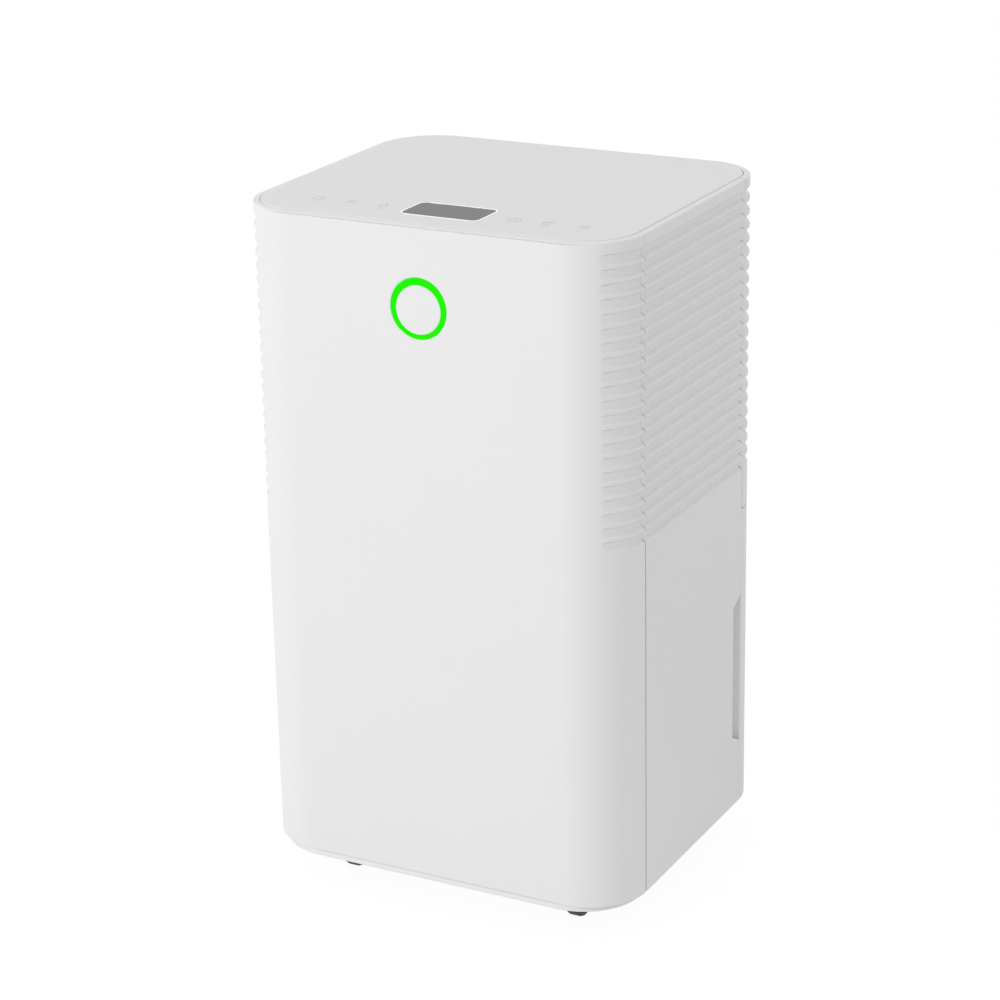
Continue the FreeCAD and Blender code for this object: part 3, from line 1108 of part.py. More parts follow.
# Intake grille with its filter, clipped into the rear cover.
grille_x = (f"-({intake_half_width} - dims.fit_gap)", f"({intake_half_width} - dims.fit_gap)")
grille_z = (f"({intake_low} + dims.fit_gap)", f"({intake_high} - dims.fit_gap)")
grille_front = f"({half_depth} - dims.grille_depth)"
slat_room = f"(({grille_z[1]}) - ({grille_z[0]}) - 2 * dims.grille_wall)"
slat_pitch = f"({slat_room} / (dims.slat_count + 1))"
grille_frame = cut("grille_frame", block("grille_blank", grille_x, (grille_front, half_depth), grille_z),
                   [
    block("grille_opening", (f"{grille_x[0]} + dims.grille_wall", f"{grille_x[1]} - dims.grille_wall"),
          (f"{grille_front} - dims.overrun", f"{half_depth} + dims.overrun"),
          (f"{grille_z[0]} + dims.grille_wall", f"{grille_z[1]} - dims.grille_wall")),
])
grille_slats = [
    block("grille_slat", (f"{grille_x[0]} + dims.grille_wall / 2",
                          f"{grille_x[1]} - dims.grille_wall / 2"),
          (f"({grille_front} + dims.mesh_thickness)", half_depth),
          (f"{grille_z[0]} + dims.grille_wall + {place + 1} * {slat_pitch} - dims.slat_height / 2",
           f"{grille_z[0]} + dims.grille_wall + {place + 1} * {slat_pitch} + dims.slat_height / 2"))
    for place in range(int(size("dims.slat_count")))
]
keep(fuse("intake_grille_solid", [grille_frame] + grille_slats), "intake_grille")
keep(block("filter_mesh_solid", (f"{grille_x[0]} + dims.grille_wall",
                                 f"{grille_x[1]} - dims.grille_wall"),
           (grille_front, f"{grille_front} + dims.mesh_thickness"),
           (f"{grille_z[0]} + dims.grille_wall", f"{grille_z[1]} - dims.grille_wall")), "filter_mesh")

# Drain nozzle from the tray to its cup, the rubber plug in it, and the bush where the mains cord enters.
nozzle_end = f"({cup_floor} + dims.nozzle_reach)"
nozzle = fuse("nozzle_tube", [
    rod("nozzle_neck", "y", (f"{tray_rear} - dims.tray_wall", nozzle_end), nozzle_spot,
        "dims.nozzle_neck"),
    rod("nozzle_sleeve", "y", (cup_floor, nozzle_end), nozzle_spot, "dims.nozzle_radius"),
])
keep(cut("drain_nozzle_solid", nozzle, [
    rod("nozzle_bore", "y", (f"{tray_rear} - dims.tray_wall - dims.overrun",
                             f"{nozzle_end} + dims.overrun"), nozzle_spot, "dims.nozzle_bore"),
]), "drain_nozzle")
keep(fuse("drain_plug_solid", [
    rod("plug_stem", "y", (f"{nozzle_end} - dims.plug_length", nozzle_end), nozzle_spot,
        "dims.nozzle_bore - dims.running_gap"),
    rod("plug_head", "y", (nozzle_end, f"{nozzle_end} + dims.plug_head_height"), nozzle_spot,
        "dims.plug_head"),
]), "drain_plug")
gland = fuse("gland_blank", [
    rod("gland_barrel", "y", (f"{cup_floor} - dims.front_wall", f"{cup_floor} + dims.overrun"),
        gland_spot, "dims.gland_radius"),
    rod("gland_flange", "y", (cup_floor, f"{cup_floor} + dims.gland_flange_height"), gland_spot,
        "dims.gland_flange"),
])
keep(cut("cord_gland_solid", gland, [
    rod("gland_bore", "y", (f"{cup_floor} - dims.front_wall - dims.overrun",
                            f"{cup_floor} + dims.gland_flange_height + dims.overrun"),
        gland_spot, "dims.cord_radius"),
]), "cord_gland")

# Every piece is checked, then written to its own file.
document.recompute()
for item in document.Objects:
    if {"Invalid", "Error"} & set(item.State):
        raise RuntimeError(f"{item.Name} did not build: {item.State}")
os.makedirs("parts", exist_ok=True)
for node in nodes:
    if node.Shape.isNull() or not node.Shape.isValid():
        raise RuntimeError(f"{node.Label} has no sound shape")
    node.Shape.exportStep(f"parts/{node.Label}.step")
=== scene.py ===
import bpy
import numpy as np
from mathutils import Matrix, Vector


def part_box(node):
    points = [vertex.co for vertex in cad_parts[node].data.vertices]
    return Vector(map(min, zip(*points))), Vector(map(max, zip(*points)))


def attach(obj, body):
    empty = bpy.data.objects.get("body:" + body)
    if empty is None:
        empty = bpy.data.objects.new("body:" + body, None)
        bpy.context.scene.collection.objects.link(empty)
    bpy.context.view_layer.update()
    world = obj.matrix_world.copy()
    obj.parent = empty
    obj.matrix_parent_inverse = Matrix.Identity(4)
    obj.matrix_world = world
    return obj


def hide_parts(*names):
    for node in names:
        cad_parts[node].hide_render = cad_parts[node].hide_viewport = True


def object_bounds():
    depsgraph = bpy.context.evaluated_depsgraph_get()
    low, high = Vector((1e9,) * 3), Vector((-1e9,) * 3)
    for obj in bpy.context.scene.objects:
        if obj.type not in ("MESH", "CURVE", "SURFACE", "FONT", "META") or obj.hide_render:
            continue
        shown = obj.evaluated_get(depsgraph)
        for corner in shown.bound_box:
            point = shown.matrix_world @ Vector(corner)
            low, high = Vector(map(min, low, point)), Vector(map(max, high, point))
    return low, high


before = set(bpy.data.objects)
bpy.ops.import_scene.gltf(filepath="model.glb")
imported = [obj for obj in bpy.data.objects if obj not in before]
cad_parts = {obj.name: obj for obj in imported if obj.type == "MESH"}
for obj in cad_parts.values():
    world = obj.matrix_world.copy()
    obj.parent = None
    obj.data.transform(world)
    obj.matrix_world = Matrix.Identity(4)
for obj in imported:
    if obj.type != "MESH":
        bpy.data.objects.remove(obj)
cad_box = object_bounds()

# Base: one white moulding with the body's outline, set back at the sides.  The shells locate round its
# lip and close on its low bead, the tank runs on its two rails, and the castors are riveted through it.
half_width, half_depth, top = cad_box[1]
corner_radius = 0.045
base_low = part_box("base_tray")[0][2]
lip_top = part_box("base_tray")[1][2]
base_thickness = 0.0024
base_edge = 0.0007
inner_half_width = 0.1437
inner_half_depth = 0.1262
base_set_back = 0.005
base_overlap = 0.0005
lip_radius = 0.0412
lip_wall = 0.003
lip_edge = 0.0002
bead_front = 0.0004
bead_back = 0.002
bead_gap = 0.0002
rail_place = 0.066
rail_half_width = 0.004
rail_front = 0.005
rail_radius = 0.002
rail_edge = 0.0004
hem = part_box("front_shell")[0][2]


def rounded_rectangle(half_x, half_y, radius, steps=14, centre=(0, 0)):
    """A closed outline, counter-clockwise from the right side: four quarter circles set at the corners
    of a smaller rectangle, which the straight sides join."""
    swing = np.linspace(0, np.pi / 2, steps + 1)
    corners = ((1, 1), (-1, 1), (-1, -1), (1, -1))
    arcs = [
        np.stack([
            centre[0] + side_x * (half_x - radius) + radius * np.cos(swing + quarter * np.pi / 2),
            centre[1] + side_y * (half_y - radius) + radius * np.sin(swing + quarter * np.pi / 2),
        ], 1)
        for quarter, (side_x, side_y) in enumerate(corners)
    ]
    return np.concatenate(arcs)


flat_ends = ()


def loft(loops, tips=None):
    """A closed surface over matching loops of points, (loops, points, 3).  The last loop joins the
    first in a ring, or each end closes flat, or with a fan to its tip."""
    count, around = loops.shape[:2]
    index = np.arange(count * around).reshape(count, around)
    beside = np.roll(index, -1, 1)
    above, above_beside = np.roll(index, -1, 0), np.roll(beside, -1, 0)
    rows = slice(None) if tips is None else slice(0, -1)
    faces = [np.stack([index[rows], beside[rows], above_beside[rows], above[rows]], 2).reshape(-1, 4)]
    points = loops.reshape(-1, 3)
    if tips is flat_ends:
        faces += [index[:1, ::-1], index[-1:]]
    elif tips is not None:
        points = np.concatenate([points, tips])
        low_tip, high_tip = np.full((2, around), [[count * around], [count * around + 1]])
        faces.append(np.stack([beside[0], index[0], low_tip], 1))
        faces.append(np.stack([index[-1], beside[-1], high_tip], 1))
    return points, faces


def at_level(flat, level):
    """A flat outline set at a level."""
    return np.concatenate([flat, np.full((len(flat), 1), level)], 1)


def normals(outline):
    """The outward way at each point of an outline, square to the line between its neighbours."""
    ahead = np.roll(outline, -1, 0) - np.roll(outline, 1, 0)
    return np.stack([ahead[:, 1], -ahead[:, 0]], 1) / np.linalg.norm(ahead, axis=1)[:, None]


def rim_steps(low, high, edge, steps=3):
    """Levels from one end to the other, and how far the outline is drawn in at each, for a rim that
    is rounded by a quarter circle at both ends."""
    swing = np.linspace(0, np.pi / 2, steps + 1)
    rise, inset = edge * (1 - np.cos(swing)), edge * (1 - np.sin(swing))
    return np.concatenate([low + rise, high - rise[::-1]]), np.concatenate([inset, inset[::-1]])


def extrude(outline, low, high, edge, up=2, steps=3):
    """A plate with rounded rims: the outline carried along one axis, and drawn in along its own
    normals at each end."""
    loops = [at_level(outline - inset * normals(outline), level)
             for level, inset in zip(*rim_steps(low, high, edge, steps))]
    return loft(np.roll(np.array(loops), up + 1, 2), flat_ends)


def outward(form):
    """The same form with its faces turned outwards: the solid's volume, summed over triangles from
    the origin, comes out above nothing."""
    points, faces = form
    volume = 0
    for group in faces:
        corner = points[group]
        for place in range(1, group.shape[1] - 1):
            volume += np.einsum("ij,ij->", corner[:, 0], np.cross(corner[:, place], corner[:, place + 1]))
    return points, [group[:, ::-1] if volume < 0 else group for group in faces]


def add_piece(name, forms, finish, body, slot, *nodes, sharp=0.7):
    """A piece of one or more closed forms, smooth but for edges sharper than an angle, with its
    shading weighted by area.  It rides on a body and stands for the named nodes; the slot is not used."""
    points, rows, start = [], [], 0
    for form_points, faces in map(outward, forms):
        points.append(form_points)
        for group in faces:
            rows += (group + start).tolist()
        start += len(form_points)
    mesh = bpy.data.meshes.new(name)
    mesh.from_pydata(np.concatenate(points).tolist(), [], rows)
    mesh.polygons.foreach_set("use_smooth", np.ones(len(rows), bool))
    mesh.set_sharp_from_angle(angle=sharp)
    mesh.materials.append(finish)
    piece = bpy.data.objects.new(name, mesh)
    bpy.context.scene.collection.objects.link(piece)
    weighted = piece.modifiers.new("even_shading", "WEIGHTED_NORMAL")
    weighted.keep_sharp = True
    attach(piece, body)
    if nodes:
        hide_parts(*nodes)
    return piece


def linear(shade):
    """A colour given as three screen values from 0 to 255, as the linear values that sockets take."""
    part = np.asarray(shade, float) / 255
    part = np.where(part <= 0.04045, part / 12.92, ((part + 0.055) / 1.055) ** 2.4)
    return (*part.tolist(), 1)


def new_group(name, inputs, outputs):
    """An empty shader node group with named value inputs, a colour input, and named outputs."""
    group = bpy.data.node_groups.new(name, "ShaderNodeTree")
    group.interface.new_socket("Colour", in_out="INPUT", socket_type="NodeSocketColor")
    for label in inputs:
        group.interface.new_socket(label, in_out="INPUT", socket_type="NodeSocketFloat")
    for label in outputs:
        kind = "NodeSocketColor" if label == "Colour" else "NodeSocketFloat"
        group.interface.new_socket(label, in_out="OUTPUT", socket_type=kind)
    return group, group.nodes.new("NodeGroupInput"), group.nodes.new("NodeGroupOutput")


def add_node(tree, kind, settings=None, **sockets):
    """A node with its settings, whose sockets are given a value or joined to another's output."""
    node = tree.nodes.new(kind)
    for label, value in (settings or {}).items():
        setattr(node, label, value)
    for label, value in sockets.items():
        socket = node.inputs[int(label[1:])] if label[1:].isdigit() else node.inputs[label.replace("_", " ")]
        if isinstance(value, bpy.types.NodeSocket):
            tree.links.new(value, socket)
        else:
            socket.default_value = value
    return node


def sum_node(tree, operation, *values):
    """The result of a sum of one, two or three values."""
    sockets = {f"_{place}": value for place, value in enumerate(values)}
    return add_node(tree, "ShaderNodeMath", {"operation": operation}, **sockets).outputs[0]


def scaled(tree, colour, factor):
    """A colour made lighter or darker by a factor."""
    return add_node(tree, "ShaderNodeVectorMath", {"operation": "SCALE"}, _0=colour, Scale=factor).outputs[0]


def drift(group, given, out, centred, height):
    """Moves the tone and the gloss by their spreads times a value centred on nothing, and passes the
    height on."""
    tone = sum_node(group, "MULTIPLY_ADD", centred, given.outputs["Tone Spread"], 1.0)
    gloss = sum_node(group, "MULTIPLY_ADD", centred, given.outputs["Gloss Spread"], given.outputs["Gloss"])
    group.links.new(scaled(group, given.outputs["Colour"], tone), out.inputs["Colour"])
    group.links.new(gloss, out.inputs["Roughness"])
    group.links.new(height, out.inputs["Height"])
    return group


def grain_group():
    """Moulded texture: fine noise for bump, and a slow cloud, centred on nothing, that moves the tone
    and the gloss by their spreads."""
    inputs = ("Size", "Tone Spread", "Gloss", "Gloss Spread")
    group, given, out = new_group("moulded_grain", inputs, ("Colour", "Roughness", "Height"))
    place = add_node(group, "ShaderNodeTexCoord").outputs["Object"]
    fine = add_node(group, "ShaderNodeTexNoise", Vector=place, Scale=given.outputs["Size"], Detail=3.0)
    cloud = add_node(group, "ShaderNodeTexNoise", Vector=place, Scale=9.0, Detail=2.0)
    centred = sum_node(group, "SUBTRACT", cloud.outputs["Fac"], 0.5)
    return drift(group, given, out, centred, fine.outputs["Fac"])


grain = grain_group()


def new_finish(name, group, shade, bump, plain, **sockets):
    """A material whose node group feeds colour, roughness and bump; plain holds the numbers that are
    the same all over, set on the shader itself."""
    finish = bpy.data.materials.new(name)
    finish.use_nodes = True
    tree = finish.node_tree
    shader = tree.nodes["Principled BSDF"]
    texture = add_node(tree, "ShaderNodeGroup", {"node_tree": group})
    texture.inputs["Colour"].default_value = linear(shade)
    for label, value in sockets.items():
        texture.inputs[label.replace("_", " ")].default_value = value
    lift = add_node(tree, "ShaderNodeBump", Strength=bump, Distance=0.0002, Height=texture.outputs["Height"])
    tree.links.new(texture.outputs["Colour"], shader.inputs["Base Color"])
    tree.links.new(texture.outputs["Roughness"], shader.inputs["Roughness"])
    tree.links.new(lift.outputs["Normal"], shader.inputs["Normal"])
    for label, value in plain.items():
        shader.inputs[label].default_value = value
    return finish


def moulded(name, shade, gloss, bump=0.05, size=1400.0, tone=0.02, spread=0.06, **plain):
    """A moulded plastic: its tone and gloss drift a little, and a fine grain lifts its surface."""
    plain = {label.replace("_", " "): value for label, value in plain.items()}
    return new_finish(name, grain, shade, bump, plain, Size=size, Tone_Spread=tone, Gloss=gloss,
                      Gloss_Spread=spread)


shell_white = moulded("shell_white", (232, 232, 232), 0.5)
lip_front = rounded_rectangle(inner_half_width, inner_half_depth, lip_radius)
lip_back = rounded_rectangle(inner_half_width - lip_wall, inner_half_depth - lip_wall, lip_radius - lip_wall)
lip_ahead = lip_front[:, 1] < 0
lip_outline = np.concatenate([
    [[-inner_half_width, 0]], lip_front[lip_ahead], [[inner_half_width, 0]],
    [[inner_half_width - lip_wall, 0]], lip_back[lip_ahead][::-1], [[lip_wall - inner_half_width, 0]],
])
base_top = base_low + base_thickness
base_join = base_top - base_overlap
base_half_width = half_width - base_set_back


def base_outline(inset=0):
    """The base's outline, drawn in evenly."""
    return rounded_rectangle(base_half_width - inset, half_depth - inset, corner_radius - inset)


bead_high = hem - bead_gap
bead_sides = (
    (bead_front, base_join), (bead_front, bead_high), (bead_back, bead_high), (bead_back, base_join),
)
base_forms = [
    extrude(base_outline(), base_low, base_top, base_edge),
    extrude(lip_outline, base_join, lip_top, lip_edge),
    loft(np.array([at_level(base_outline(inset), level) for inset, level in bead_sides])),
]
for side in (-1, 1):
    rail_length = half_depth - corner_radius / 2 - rail_front
    rail = rounded_rectangle(rail_half_width, rail_length / 2, rail_radius, 4,
                             (side * rail_place, rail_front + rail_length / 2))
    base_forms.append(extrude(rail, base_join, hem, rail_edge))
add_piece("base_moulding", base_forms, shell_white, "chassis", "white_shell", "base_tray")

# Castors: a pressed plate and a kingpin riveted through the base, a moulded fork that swivels on it,
# and a wheel with a crowned tread on a steel axle.
castor_trail = 0.006
wheel_radius = 0.011
wheel_half_width = 0.006
cheek_gap = 0.0003
cheek_inside = wheel_half_width + cheek_gap
cheek_thickness = 0.0022
cheek_edge = 0.0003
rib_count = 5
rib_start = 0.0036
rib_end = 0.0078
rib_half = 0.0006
rib_half_width = 0.0052
rib_edge = 0.0001
dark_plastic = moulded("dark_plastic", (44, 44, 46), 0.5, size=900.0, tone=0.1)
wheel_grey = moulded("wheel_grey", (34, 34, 36), 0.55, size=700.0, tone=0.12)


def turn(before, after, radius, steps):
    """The arc that is tangent to the direction before a corner and to the one after it, given as
    offsets from the corner."""
    before, after = np.array(before, float), np.array(after, float)
    angle = np.arccos(np.clip(before @ after, -1, 1))
    side = after - before * (before @ after)
    side /= np.linalg.norm(side)
    swing = np.linspace(0, angle, steps)[:, None]
    return radius * (side - before * np.tan(angle / 2) - side * np.cos(swing) + before * np.sin(swing))


def rounded(corners, closed=False, steps=4):
    """A line through (across, along, radius) corners in millimetres, each corner with a radius
    replaced by the arc that is tangent to both of its sides.  Gives metres."""
    corners = np.array(corners, float) / 1000
    spots, radii = corners[:, :2], corners[:, 2]
    ways = np.roll(spots, -1, 0) - spots
    ways /= np.linalg.norm(ways, axis=1)[:, None]
    line = []
    for place, (spot, radius) in enumerate(zip(spots, radii)):
        at_end = not closed and place in (0, len(spots) - 1)
        if radius == 0 or at_end:
            line.append(spot[None])
        else:
            line.append(spot + turn(ways[place - 1], ways[place], radius, steps))
    return np.concatenate(line)


def revolve(profile, centre, up=2, steps=48):
    """A profile of (radius, height) turned about an axis through a point.  One that starts and ends
    on the axis closes with a fan at each end; any other one joins its own start."""
    angle = np.arange(steps) * 2 * np.pi / steps
    on_axis = profile[0][0] == 0
    rings = profile[1:-1] if on_axis else profile
    across = rings[:, :1]
    loops = np.stack([across * np.cos(angle), across * np.sin(angle), rings[:, 1:] + 0 * angle], 2)
    loops = np.roll(loops, up + 1, 2) + centre
    if not on_axis:
        return loft(loops)
    tips = np.roll([[0, 0, profile[0][1]], [0, 0, profile[-1][1]]], up + 1, 1) + centre
    return loft(loops, tips)


def middle_of(node):
    """The middle of a kept node's box."""
    return np.mean(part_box(node), axis=0)


wheel_profile = rounded([
    (2.05, -5.6, 0), (3.6, -5.6, 0.3), (4.1, -4.2, 0.4), (7.4, -4.2, 0.5), (8.2, -5.8, 0.4),
    (10.1, -5.8, 0.9), (11, -3.6, 1.2), (11, 3.6, 1.2), (10.1, 5.8, 0.9), (8.2, 5.8, 0.4),
    (7.4, 4.2, 0.5), (4.1, 4.2, 0.4), (3.6, 5.6, 0.3), (2.05, 5.6, 0),
], closed=True)
for castor in ("front_left", "front_right", "rear_left", "rear_right"):
    swivel_x = middle_of(f"castor_fork_{castor}")[0]
    axle_y = middle_of(f"castor_wheel_{castor}")[1]
    axle = np.array([swivel_x, axle_y, wheel_radius])
    wheel_forms = [revolve(wheel_profile, axle, 0)]
    for rib in range(rib_count):
        angle = rib * 2 * np.pi / rib_count
        along = np.array([np.cos(angle), np.sin(angle)])
        beside = np.array([-along[1], along[0]])
        corners = ((rib_start, -rib_half), (rib_end, -rib_half), (rib_end, rib_half), (rib_start, rib_half))
        outline = np.array([along * reach + beside * aside for reach, aside in corners]) + axle[1:]
        faces = (swivel_x - rib_half_width, swivel_x + rib_half_width)
        wheel_forms.append(extrude(outline, *faces, rib_edge, 0, 1))
    add_piece(f"castor_tyre_{castor}", wheel_forms, wheel_grey, f"wheel_{castor}", "dark_plastic",
              f"castor_wheel_{castor}")
    swivel_profile = rounded([
        (3.1, -2.2, 0), (11, -2.2, 0.6), (11, 0, 0.8), (3.1, 0, 0),
    ], closed=True)
    swivel = np.array([swivel_x, axle_y - castor_trail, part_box(f"castor_fork_{castor}")[1][2]])
    fork_forms = [revolve(swivel_profile, swivel)]
    cheek = rounded([
        (-10, 14, 0.3), (-4.4, -1, 4), (-2.6, -4, 2.4), (2.6, -4, 2.4), (4.2, 0, 4), (1.5, 14, 0.3),
    ], closed=True) + axle[1:]
    for side in (-1, 1):
        faces = sorted(swivel_x + side * reach for reach in (cheek_inside, cheek_inside + cheek_thickness))
        fork_forms.append(extrude(cheek, *faces, cheek_edge, 0, 2))
    reach = (cheek_inside + cheek_thickness) * 1000
    axle_profile = rounded([(0, -reach, 0), (2, -reach, 0.3), (2, reach, 0.3), (0, reach, 0)])
    fork_forms.append(revolve(axle_profile, axle, 0, 24))
    add_piece(f"castor_bracket_{castor}", fork_forms, dark_plastic, f"fork_{castor}", "dark_plastic",
              f"castor_fork_{castor}")


def metal_group():
    """Metal: stretched noise streaks the tone and the gloss, and a blotch of larger noise dulls it."""
    inputs = ("Streak Size", "Tone Spread", "Gloss", "Gloss Spread")
    group, given, out = new_group("worn_metal", inputs, ("Colour", "Roughness", "Height"))
    place = add_node(group, "ShaderNodeTexCoord").outputs["Object"]
    drawn = add_node(group, "ShaderNodeVectorMath", {"operation": "MULTIPLY"}, _0=place, _1=(0.06, 1.0, 1.0))
    streak = add_node(group, "ShaderNodeTexNoise", Vector=drawn.outputs[0],
                      Scale=given.outputs["Streak Size"], Detail=4.0)
    blotch = add_node(group, "ShaderNodeTexNoise", Vector=place, Scale=45.0, Detail=3.0)
    both = sum_node(group, "ADD", streak.outputs["Fac"], blotch.outputs["Fac"])
    return drift(group, given, out, sum_node(group, "SUBTRACT", both, 1.0), streak.outputs["Fac"])


worn_metal = metal_group()


def metal(name, shade, gloss, streak=600.0, tone=0.15, spread=0.2, bump=0.05):
    """A bare or plated metal with drawn streaks."""
    return new_finish(name, worn_metal, shade, bump, {"Metallic": 1.0}, Streak_Size=streak, Tone_Spread=tone,
                      Gloss=gloss, Gloss_Spread=spread)


merge_reach = 1e-6
flat_angle = 0.01
corner_angle = 0.6


def dress(finish, edge, *nodes):
    """Gives kept nodes their finish, and rounds their edges: doubles are merged, flat facets become
    single faces, and edges sharper than a corner angle get a small rounded bevel."""
    for name in nodes:
        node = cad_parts[name]
        for place in node.material_slots:
            place.material = finish
        if edge == 0:
            continue
        merged = node.modifiers.new("merged", "WELD")
        merged.merge_threshold = merge_reach
        plain = node.modifiers.new("plain_faces", "DECIMATE")
        plain.decimate_type = "DISSOLVE"
        plain.angle_limit = flat_angle
        soft = node.modifiers.new("soft_edges", "BEVEL")
        soft.width = edge
        soft.segments = 2
        soft.limit_method = "ANGLE"
        soft.angle_limit = corner_angle
        even = node.modifiers.new("even_shading", "WEIGHTED_NORMAL")
        even.keep_sharp = True


zinc_steel = metal("zinc_steel", (178, 182, 186), 0.38)
dress(zinc_steel, 0.0003, "castor_plates")

# Compressor: a welded steel shell in black paint on four rubber bushes, with its accumulator.
black_paint = moulded("black_paint", (30, 30, 31), 0.35, bump=0.12, size=500.0, tone=0.15, Coat_Weight=0.4)
bush_rubber = moulded("bush_rubber", (38, 38, 39), 0.75, bump=0.15, size=900.0, tone=0.15)
dress(black_paint, 0.0008, "compressor", "accumulator")
dress(bush_rubber, 0.0006, "compressor_bushes")
dress(zinc_steel, 0.0004, "compressor_bolts")
dress(dark_plastic, 0.0008, "terminal_cover")

# Refrigerant pipes: drawn copper tube, brazed at each end.
copper = metal("drawn_copper", (196, 126, 88), 0.3, tone=0.2)
dress(copper, 0, "discharge_pipe", "suction_pipe", "capillary_tube")
dress(copper, 0.0008, "filter_drier")

# Bulkhead and deck: one bent zinc-plated sheet that walls off the tank bay and carries what is above.
dress(zinc_steel, 0.0003, "bulkhead")

# Drip tray: a grey moulding under the coils.
grey_plastic = moulded("grey_plastic", (188, 190, 192), 0.5, tone=0.04)
dress(grey_plastic, 0.0005, "drip_tray")

# Coils: thin aluminium fins pressed over a copper tube that runs to and fro between two end plates.
fin_pitch = 0.002
fin_thickness = 0.00025
fin_wave = 0.0003
end_plate = 0.0012
tube_radius = 0.0035
tube_passes = 7
bend_radius = 0.0055
bend_reach = 0.0035
plate_radius = 0.002
plate_rim = 0.0002
fin_stock = metal("fin_aluminium", (205, 208, 210), 0.35, tone=0.1)


def sweep(path, radius, steps=12):
    """A round tube along a line of points, its ends flat: each ring stands square to the line's
    direction there, turned from the ring before it by the least angle."""
    way = np.gradient(path, axis=0)
    way /= np.linalg.norm(way, axis=1)[:, None]
    side = np.cross(way[0], (0.31, 0.52, 0.79))
    rings = []
    angle = np.arange(steps)[:, None] * 2 * np.pi / steps
    for spot, along in zip(path, way):
        side = side - along * (side @ along)
        side /= np.linalg.norm(side)
        rings.append(spot + radius * (np.cos(angle) * side + np.sin(angle) * np.cross(along, side)))
    return loft(np.array(rings), flat_ends)


def serpentine(half_length, heights, y):
    """A line to and fro at each height in turn, its returns made of two quarter circles."""
    line = []
    for place, height in enumerate(heights):
        side = 1 if place % 2 == 0 else -1
        line += [[-side * half_length, height, bend_radius], [side * half_length, height, bend_radius]]
    flat = rounded(np.array(line) * 1000, steps=8)
    return np.stack([flat[:, 0], 0 * flat[:, 0] + y, flat[:, 1]], 1)


for coil in ("condenser", "evaporator"):
    low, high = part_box(f"{coil}_fins")
    depth = np.linspace(low[1], high[1], 17)
    wave = fin_wave * np.sin(np.linspace(0, 6 * np.pi, 17))
    section = np.stack([
        np.concatenate([wave - fin_thickness / 2, (wave + fin_thickness / 2)[::-1]]),
        np.concatenate([depth, depth[::-1]]),
    ], 1)[::-1]
    fins = []
    for spot in np.arange(low[0] + 2 * end_plate, high[0] - end_plate, fin_pitch):
        points = [at_level(section + (spot, 0), level) for level in (low[2], high[2])]
        fins.append(loft(np.array(points), flat_ends))
    add_piece(f"{coil}_fin_pack", fins, fin_stock, "chassis", "coil_aluminium", f"{coil}_fins")
    plates = []
    middle = (low[1] + high[1]) / 2
    for side in (-1, 1):
        outline = rounded_rectangle((high[1] - low[1]) / 2, (high[2] - low[2]) / 2, plate_radius, 4,
                                    (middle, (low[2] + high[2]) / 2))
        faces = sorted((side * high[0], side * (high[0] - end_plate)))
        plates.append(extrude(outline, *faces, plate_rim, 0, 1))
    add_piece(f"{coil}_end_plates", plates, zinc_steel, "chassis", "zinc_steel")
    pitch = (high[2] - low[2]) / tube_passes
    heights = low[2] + (np.arange(tube_passes) + 0.5) * pitch
    line = serpentine(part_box(f"{coil}_tubes")[1][0] - bend_reach, heights, middle)
    tube = sweep(line, tube_radius, 16)
    add_piece(f"{coil}_tube", [tube], copper, "chassis", "copper_tube", f"{coil}_tubes")

# Fan: a grey drum housing, a moulded wheel on the motor's shaft, and the motor with its screws.
dress(grey_plastic, 0.0006, "fan_housing", "fan_wheel")
dress(zinc_steel, 0.0006, "fan_motor")
dress(zinc_steel, 0.0003, "motor_shaft", "motor_screws")

# Electrics: a folded steel box with its lid, the main board and the run capacitor.
def board_group():
    """A solder-masked board: fine upright and level tracks by stepped waves, pads by cell centres."""
    inputs = ("Track Size", "Gloss")
    group, given, out = new_group("solder_mask", inputs, ("Colour", "Roughness", "Height"))
    place = add_node(group, "ShaderNodeTexCoord").outputs["Object"]
    tracks = add_node(group, "ShaderNodeTexBrick", {"offset": 0.35, "squash": 1.6, "squash_frequency": 3},
                      Vector=place, Scale=given.outputs["Track Size"], Mortar_Size=0.03, Mortar_Smooth=0.2)
    pads = add_node(group, "ShaderNodeTexVoronoi", Vector=place, Scale=given.outputs["Track Size"])
    pad = sum_node(group, "LESS_THAN", pads.outputs["Distance"], 0.16)
    track = sum_node(group, "MULTIPLY_ADD", tracks.outputs["Fac"], 0.45, 1.0)
    lit = scaled(group, given.outputs["Colour"], track)
    mixed = add_node(group, "ShaderNodeMix", {"data_type": "RGBA"}, _0=pad, _6=lit,
                     _7=linear((206, 204, 196)))
    gloss = sum_node(group, "MULTIPLY_ADD", pad, -0.08, given.outputs["Gloss"])
    group.links.new(mixed.outputs[2], out.inputs["Colour"])
    group.links.new(gloss, out.inputs["Roughness"])
    group.links.new(sum_node(group, "MAXIMUM", tracks.outputs["Fac"], pad), out.inputs["Height"])
    return group


solder_mask = new_finish("solder_mask_green", board_group(), (28, 88, 58), 0.3, {},
                         Track_Size=160.0, Gloss=0.3)
dress(zinc_steel, 0.0004, "control_box", "control_box_cover", "run_capacitor")
dress(solder_mask, 0.0001, "main_board")

